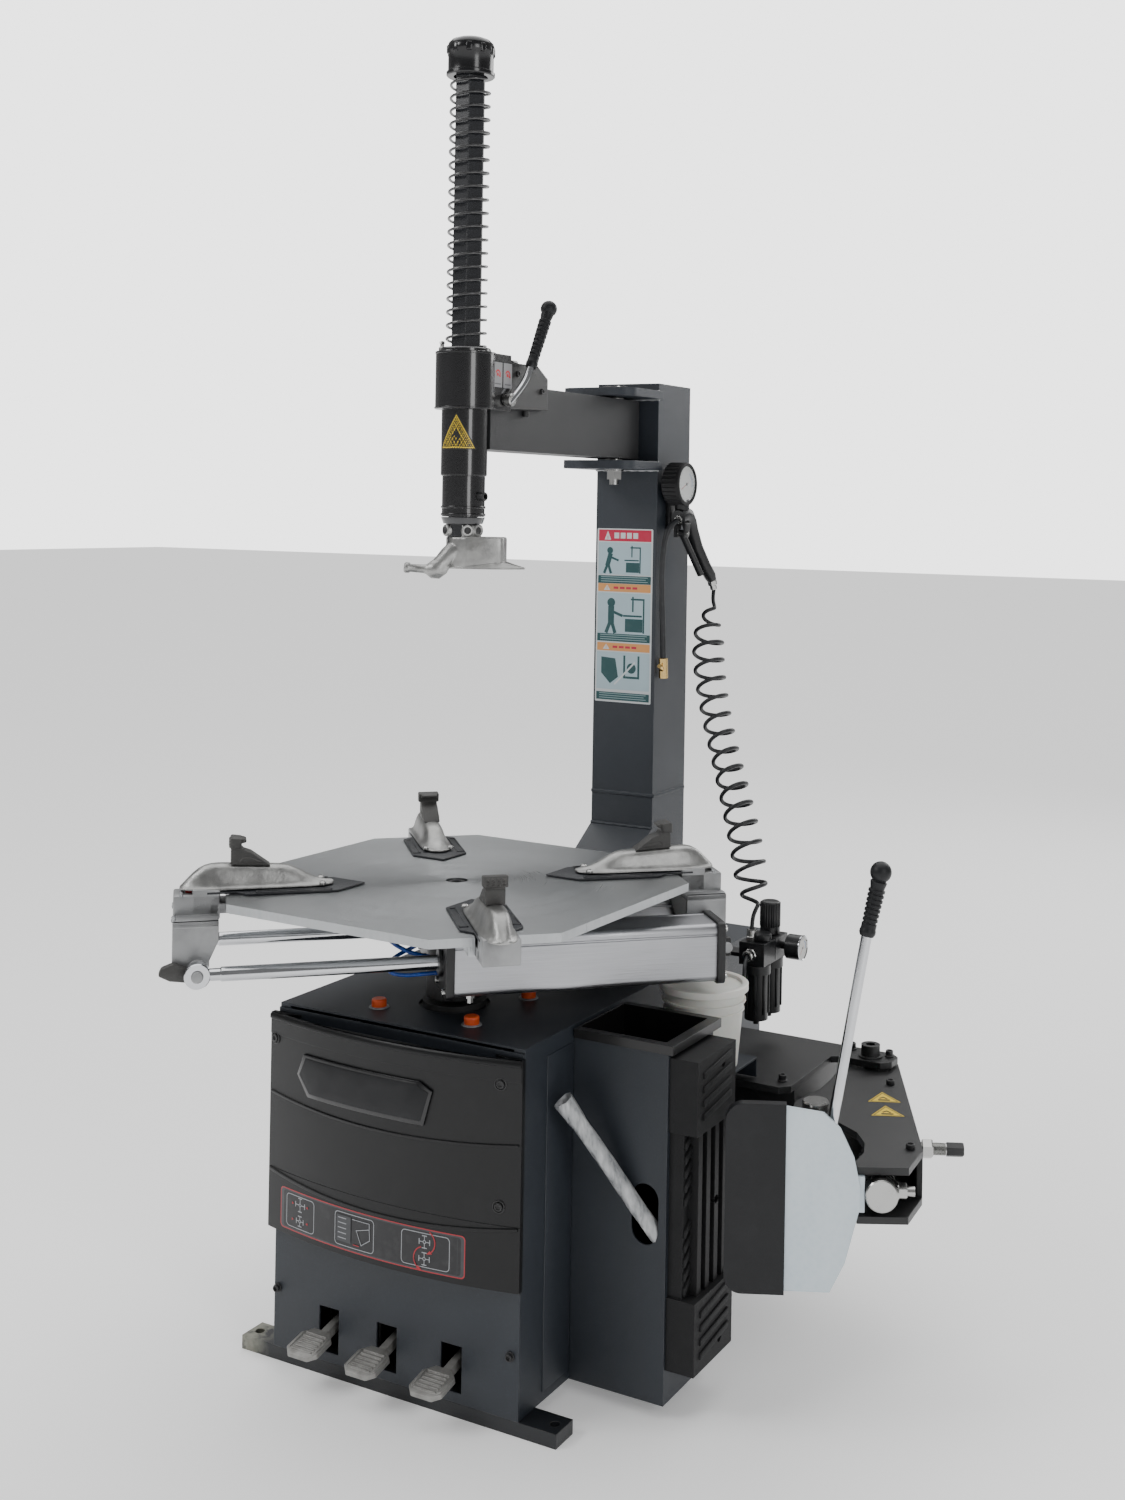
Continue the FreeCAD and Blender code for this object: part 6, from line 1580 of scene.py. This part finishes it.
ink_dial = (0.62, 0.62, 0.60)


def gauge_face(sheet, u, v, radius, needle):
    """A white dial with an arc of ticks, a coloured band and a needle. It has no figures."""
    sheet.disc(ink_dial, u, v, radius)
    for k in range(21):
        angle = math.radians(225 - 13.5 * k)
        inner = radius * (0.74 if k % 5 == 0 else 0.82)
        sheet.stroke(ink_black, [(u + inner * math.cos(angle), v + inner * math.sin(angle)),
                (u + radius * 0.9 * math.cos(angle), v + radius * 0.9 * math.sin(angle))], radius * 0.028)
    band = [math.radians(60 - 8 * k) for k in range(10)]
    sheet.stroke((0.05, 0.18, 0.45),
        [(u + radius * 0.66 * math.cos(a), v + radius * 0.66 * math.sin(a)) for a in band], radius * 0.06)
    angle = math.radians(needle)
    sheet.stroke((0.4, 0.01, 0.01), [
            (u - radius * 0.2 * math.cos(angle), v - radius * 0.2 * math.sin(angle)),
            (u + radius * 0.7 * math.cos(angle), v + radius * 0.7 * math.sin(angle))], radius * 0.045)
    sheet.disc(ink_black, u, v, radius * 0.1)


unit_dial = Print(lambda y, z, lift: Vector((0.3503 + lift, y, z)), 0.02)
gauge_face(unit_dial, filter_y, unit_gauge_z, 0.0178, 222)
unit_dial.done("unit_gauge_face", "frame", printed, "white_plastic")

# ---- Inflator gun
# It hangs on a hook on the right of the column: a large gauge in a ribbed rubber boot, a cast body
# with a long trigger along its handle, and a hanging hose that ends in a brass chuck.
gun_black = moulded("gun_black", (0.009, 0.0095, 0.0105), 0.36, 900, 0.0002, 0.25)
wear(nodes["inflator_trigger"], gun_black)
wear(nodes["air_chuck"], polished("fitting_brass", (0.62, 0.43, 0.17), 0.2))
dial_x, dial_y, dial_z = 0.0685, 0.526, 1.295
dial_at = Vector((dial_x, dial_y, dial_z))
boot_place = facing(dial_at, dial_at + Vector((1, 0, 0)))
boot = Shape()
boot.turned([(0, 0), (0.030, 0), (0.0345, 0.003), (0.0362, 0.008), (0.0362, 0.0285), (0.0372, 0.0305),
        (0.0372, 0.0350), (0.0355, 0.0365), (0.0318, 0.0365), (0.0312, 0.0335), (0, 0.0335)], boot_place,
    72)
for k in range(30):
    boot.block((0.0350, -0.0013, 0.004), (0.0374, 0.0013, 0.0295),
        boot_place @ Matrix.Rotation(2 * math.pi * k / 30, 4, "Z"), bevel=0.0006)
boot.done("gauge_boot", "frame", moulded("gauge_rubber", (0.009, 0.009, 0.010), 0.55, 700, 0.0003),
    "rubber", replaces=["inflator_gun"])
dial = Print(lambda y, z, lift: Vector((dial_x + 0.0336 + lift, y, z)), 0.02)
gauge_face(dial, dial_y, dial_z, 0.0308, 205)
dial.done("gauge_face", "frame", printed, "white_plastic")
glass = Finish("gauge_glass", Alpha=0.16, Specular_IOR_Level=0.9, Coat_Weight=0.5)
glass_haze = glass.cloud(60, 5)
glass.surface(Base_Color=glass.blend(glass_haze, (0.75, 0.8, 0.82), (0.9, 0.92, 0.93)),
    Roughness=glass_haze * 0.05 + 0.02)
lens = Shape()
lens.turned(
    [(0, 0.0362), (0.012, 0.0360), (0.024, 0.0354), (0.0310, 0.0346), (0.0312, 0.0342), (0, 0.0344)],
    boot_place, 64)
lens.done("gauge_glass", "frame", glass, "white_plastic")

gun = Shape()
gun.block((0.0600, 0.530, 1.216), (0.0684, 0.554, 1.300), bevel=0.0015)
gun.lofted(limb([((0.091, 0.520, 1.238), 0.0125), ((0.091, 0.534, 1.243), 0.0150),
            ((0.091, 0.548, 1.240), 0.0150), ((0.0915, 0.560, 1.228), 0.0135),
            ((0.0925, 0.568, 1.214), 0.0118), ((0.096, 0.582, 1.184), 0.0112),
            ((0.102, 0.600, 1.154), 0.0110), ((0.107, 0.614, 1.134), 0.0105),
            ((0.1085, 0.618, 1.127), 0.0085)]))
gun.turned([(0.0105, 0), (0.0125, 0.002), (0.0125, 0.030), (0.0105, 0.032), (0, 0.032)],
    facing((0.091, 0.534, 1.238), (0.091, 0.530, 1.275)), 32)
for x in (0.081, 0.099):
    gun.pressed([(0.520, 1.203), (0.537, 1.203), (0.544, 1.228), (0.522, 1.228)], 0, 0.004,
        Matrix.Translation((x, 0, 0)) @ along_x, bevel=0.001)
gun.done("gun_body", "frame", gun_black, "black_plastic")
gun_metal = Shape()
gun_metal.turned([(0, 0), (0.0078, 0), (0.0078, 0.007), (0.0062, 0.008), (0.0062, 0.0125), (0, 0.0125)],
    facing((0.0905, 0.5275, 1.236), (0.090, 0.516, 1.232)), 6)
gun_metal.turned([(0, 0), (0.0085, 0), (0.0085, 0.008), (0.0062, 0.009), (0.0062, 0.0165), (0, 0.0165)],
    facing((0.1085, 0.6185, 1.1265), (0.110, 0.624, 1.110)), 6)
gun_metal.turned([(0, -0.0125), (0.0035, -0.0125), (0.0035, 0.0125), (0, 0.0125)],
    facing((0.094, 0.528, 1.210), (0.2, 0.528, 1.210)), 20)
gun_metal.done("gun_fittings", "frame", zinc, "galvanised")

# ---- Blue air lines
# Two loops of blue nylon tube under the turntable, from the cylinders' end caps to the hub.
line_blue = hose_skin("blue_nylon", (0.003, 0.045, 0.26), 0.22)
cap_face = barrel_in - 0.012
for name, route in (("air_line_front", ((0, -0.070, 0.585), (0.022, -0.069, 0.584), (0.046, -0.058, 0.580),
                (0.066, -0.034, 0.578), (0.068, -0.004, 0.582), (0.050, 0.016, 0.590),
                (0.024, 0.020, 0.600), (0.008, 0.010, 0.612))), ("air_line_back", ((0, 0.070, 0.590),
                (0.020, 0.069, 0.591), (0.042, 0.060, 0.600), (0.060, 0.038, 0.612), (0.066, 0.008, 0.618),
                (0.054, -0.020, 0.612), (0.030, -0.030, 0.602), (0.008, -0.024, 0.596)))):
    route = [table_place @ Vector((cap_face - out, y, z)) for out, y, z in route]
    air_line = strand(name, route, 0.003)
    wear(air_line, line_blue)
    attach(air_line, "jaw_right")

# ---- Floor and light
# A pale studio floor, a wide soft light overhead, two in front and one behind for the edges.
floor = bpy.data.objects.new("floor", bpy.data.meshes.new("floor"))
floor.data.from_pydata([(-30, -30, 0), (30, -30, 0), (30, 30, 0), (-30, 30, 0)], [], [(0, 1, 2, 3)])
bpy.context.scene.collection.objects.link(floor)
floor_pale = Finish("pale_floor", Specular_IOR_Level=0.2, Emission_Strength=0.22)
floor_pale.surface(
    Base_Color=floor_pale.blend(floor_pale.cloud(1.5), (0.94, 0.94, 0.94), (0.955, 0.955, 0.955)),
    Roughness=floor_pale.cloud(20) * 0.1 + 0.6)
floor.data.materials.append(floor_pale.material)


def soft_light(name, at, aim, size, watts):
    lamp = bpy.data.lights.new(name, "AREA")
    lamp.shape = "RECTANGLE"
    lamp.size, lamp.size_y = size
    lamp.energy = watts
    held = bpy.data.objects.new(name, lamp)
    held.matrix_world = facing(at, Vector(at) + (Vector(at) - Vector(aim)))
    bpy.context.scene.collection.objects.link(held)


soft_light("key", (-2.2, -2.6, 3.4), (0, 0, 0.7), (1.8, 1.2), 60)
soft_light("fill", (3.6, -1.8, 2.2), (0, 0.1, 0.8), (1.2, 2.2), 40)
soft_light("rim", (1.2, 4.2, 2.6), (0, 0.2, 0.9), (2.4, 1.6), 50)
overhead = bpy.data.objects.new("overhead", bpy.data.lights.new("overhead", "SUN"))
overhead.data.angle = math.radians(80)
overhead.data.energy = 2.6
overhead.rotation_euler = (math.radians(-14), math.radians(-10), 0)
bpy.context.scene.collection.objects.link(overhead)
world = bpy.data.worlds.new("studio")
bpy.context.scene.world = world
world.use_nodes = True
sky = world.node_tree.nodes["Background"]
sky.inputs["Color"].default_value = (1, 1, 1, 1)
seen = world.node_tree.nodes.new("ShaderNodeLightPath")
strength = world.node_tree.nodes.new("ShaderNodeMapRange")
strength.inputs["To Min"].default_value = 0.22
strength.inputs["To Max"].default_value = 3.0
world.node_tree.links.new(seen.outputs["Is Camera Ray"], strength.inputs["Value"])
world.node_tree.links.new(strength.outputs["Result"], sky.inputs["Strength"])
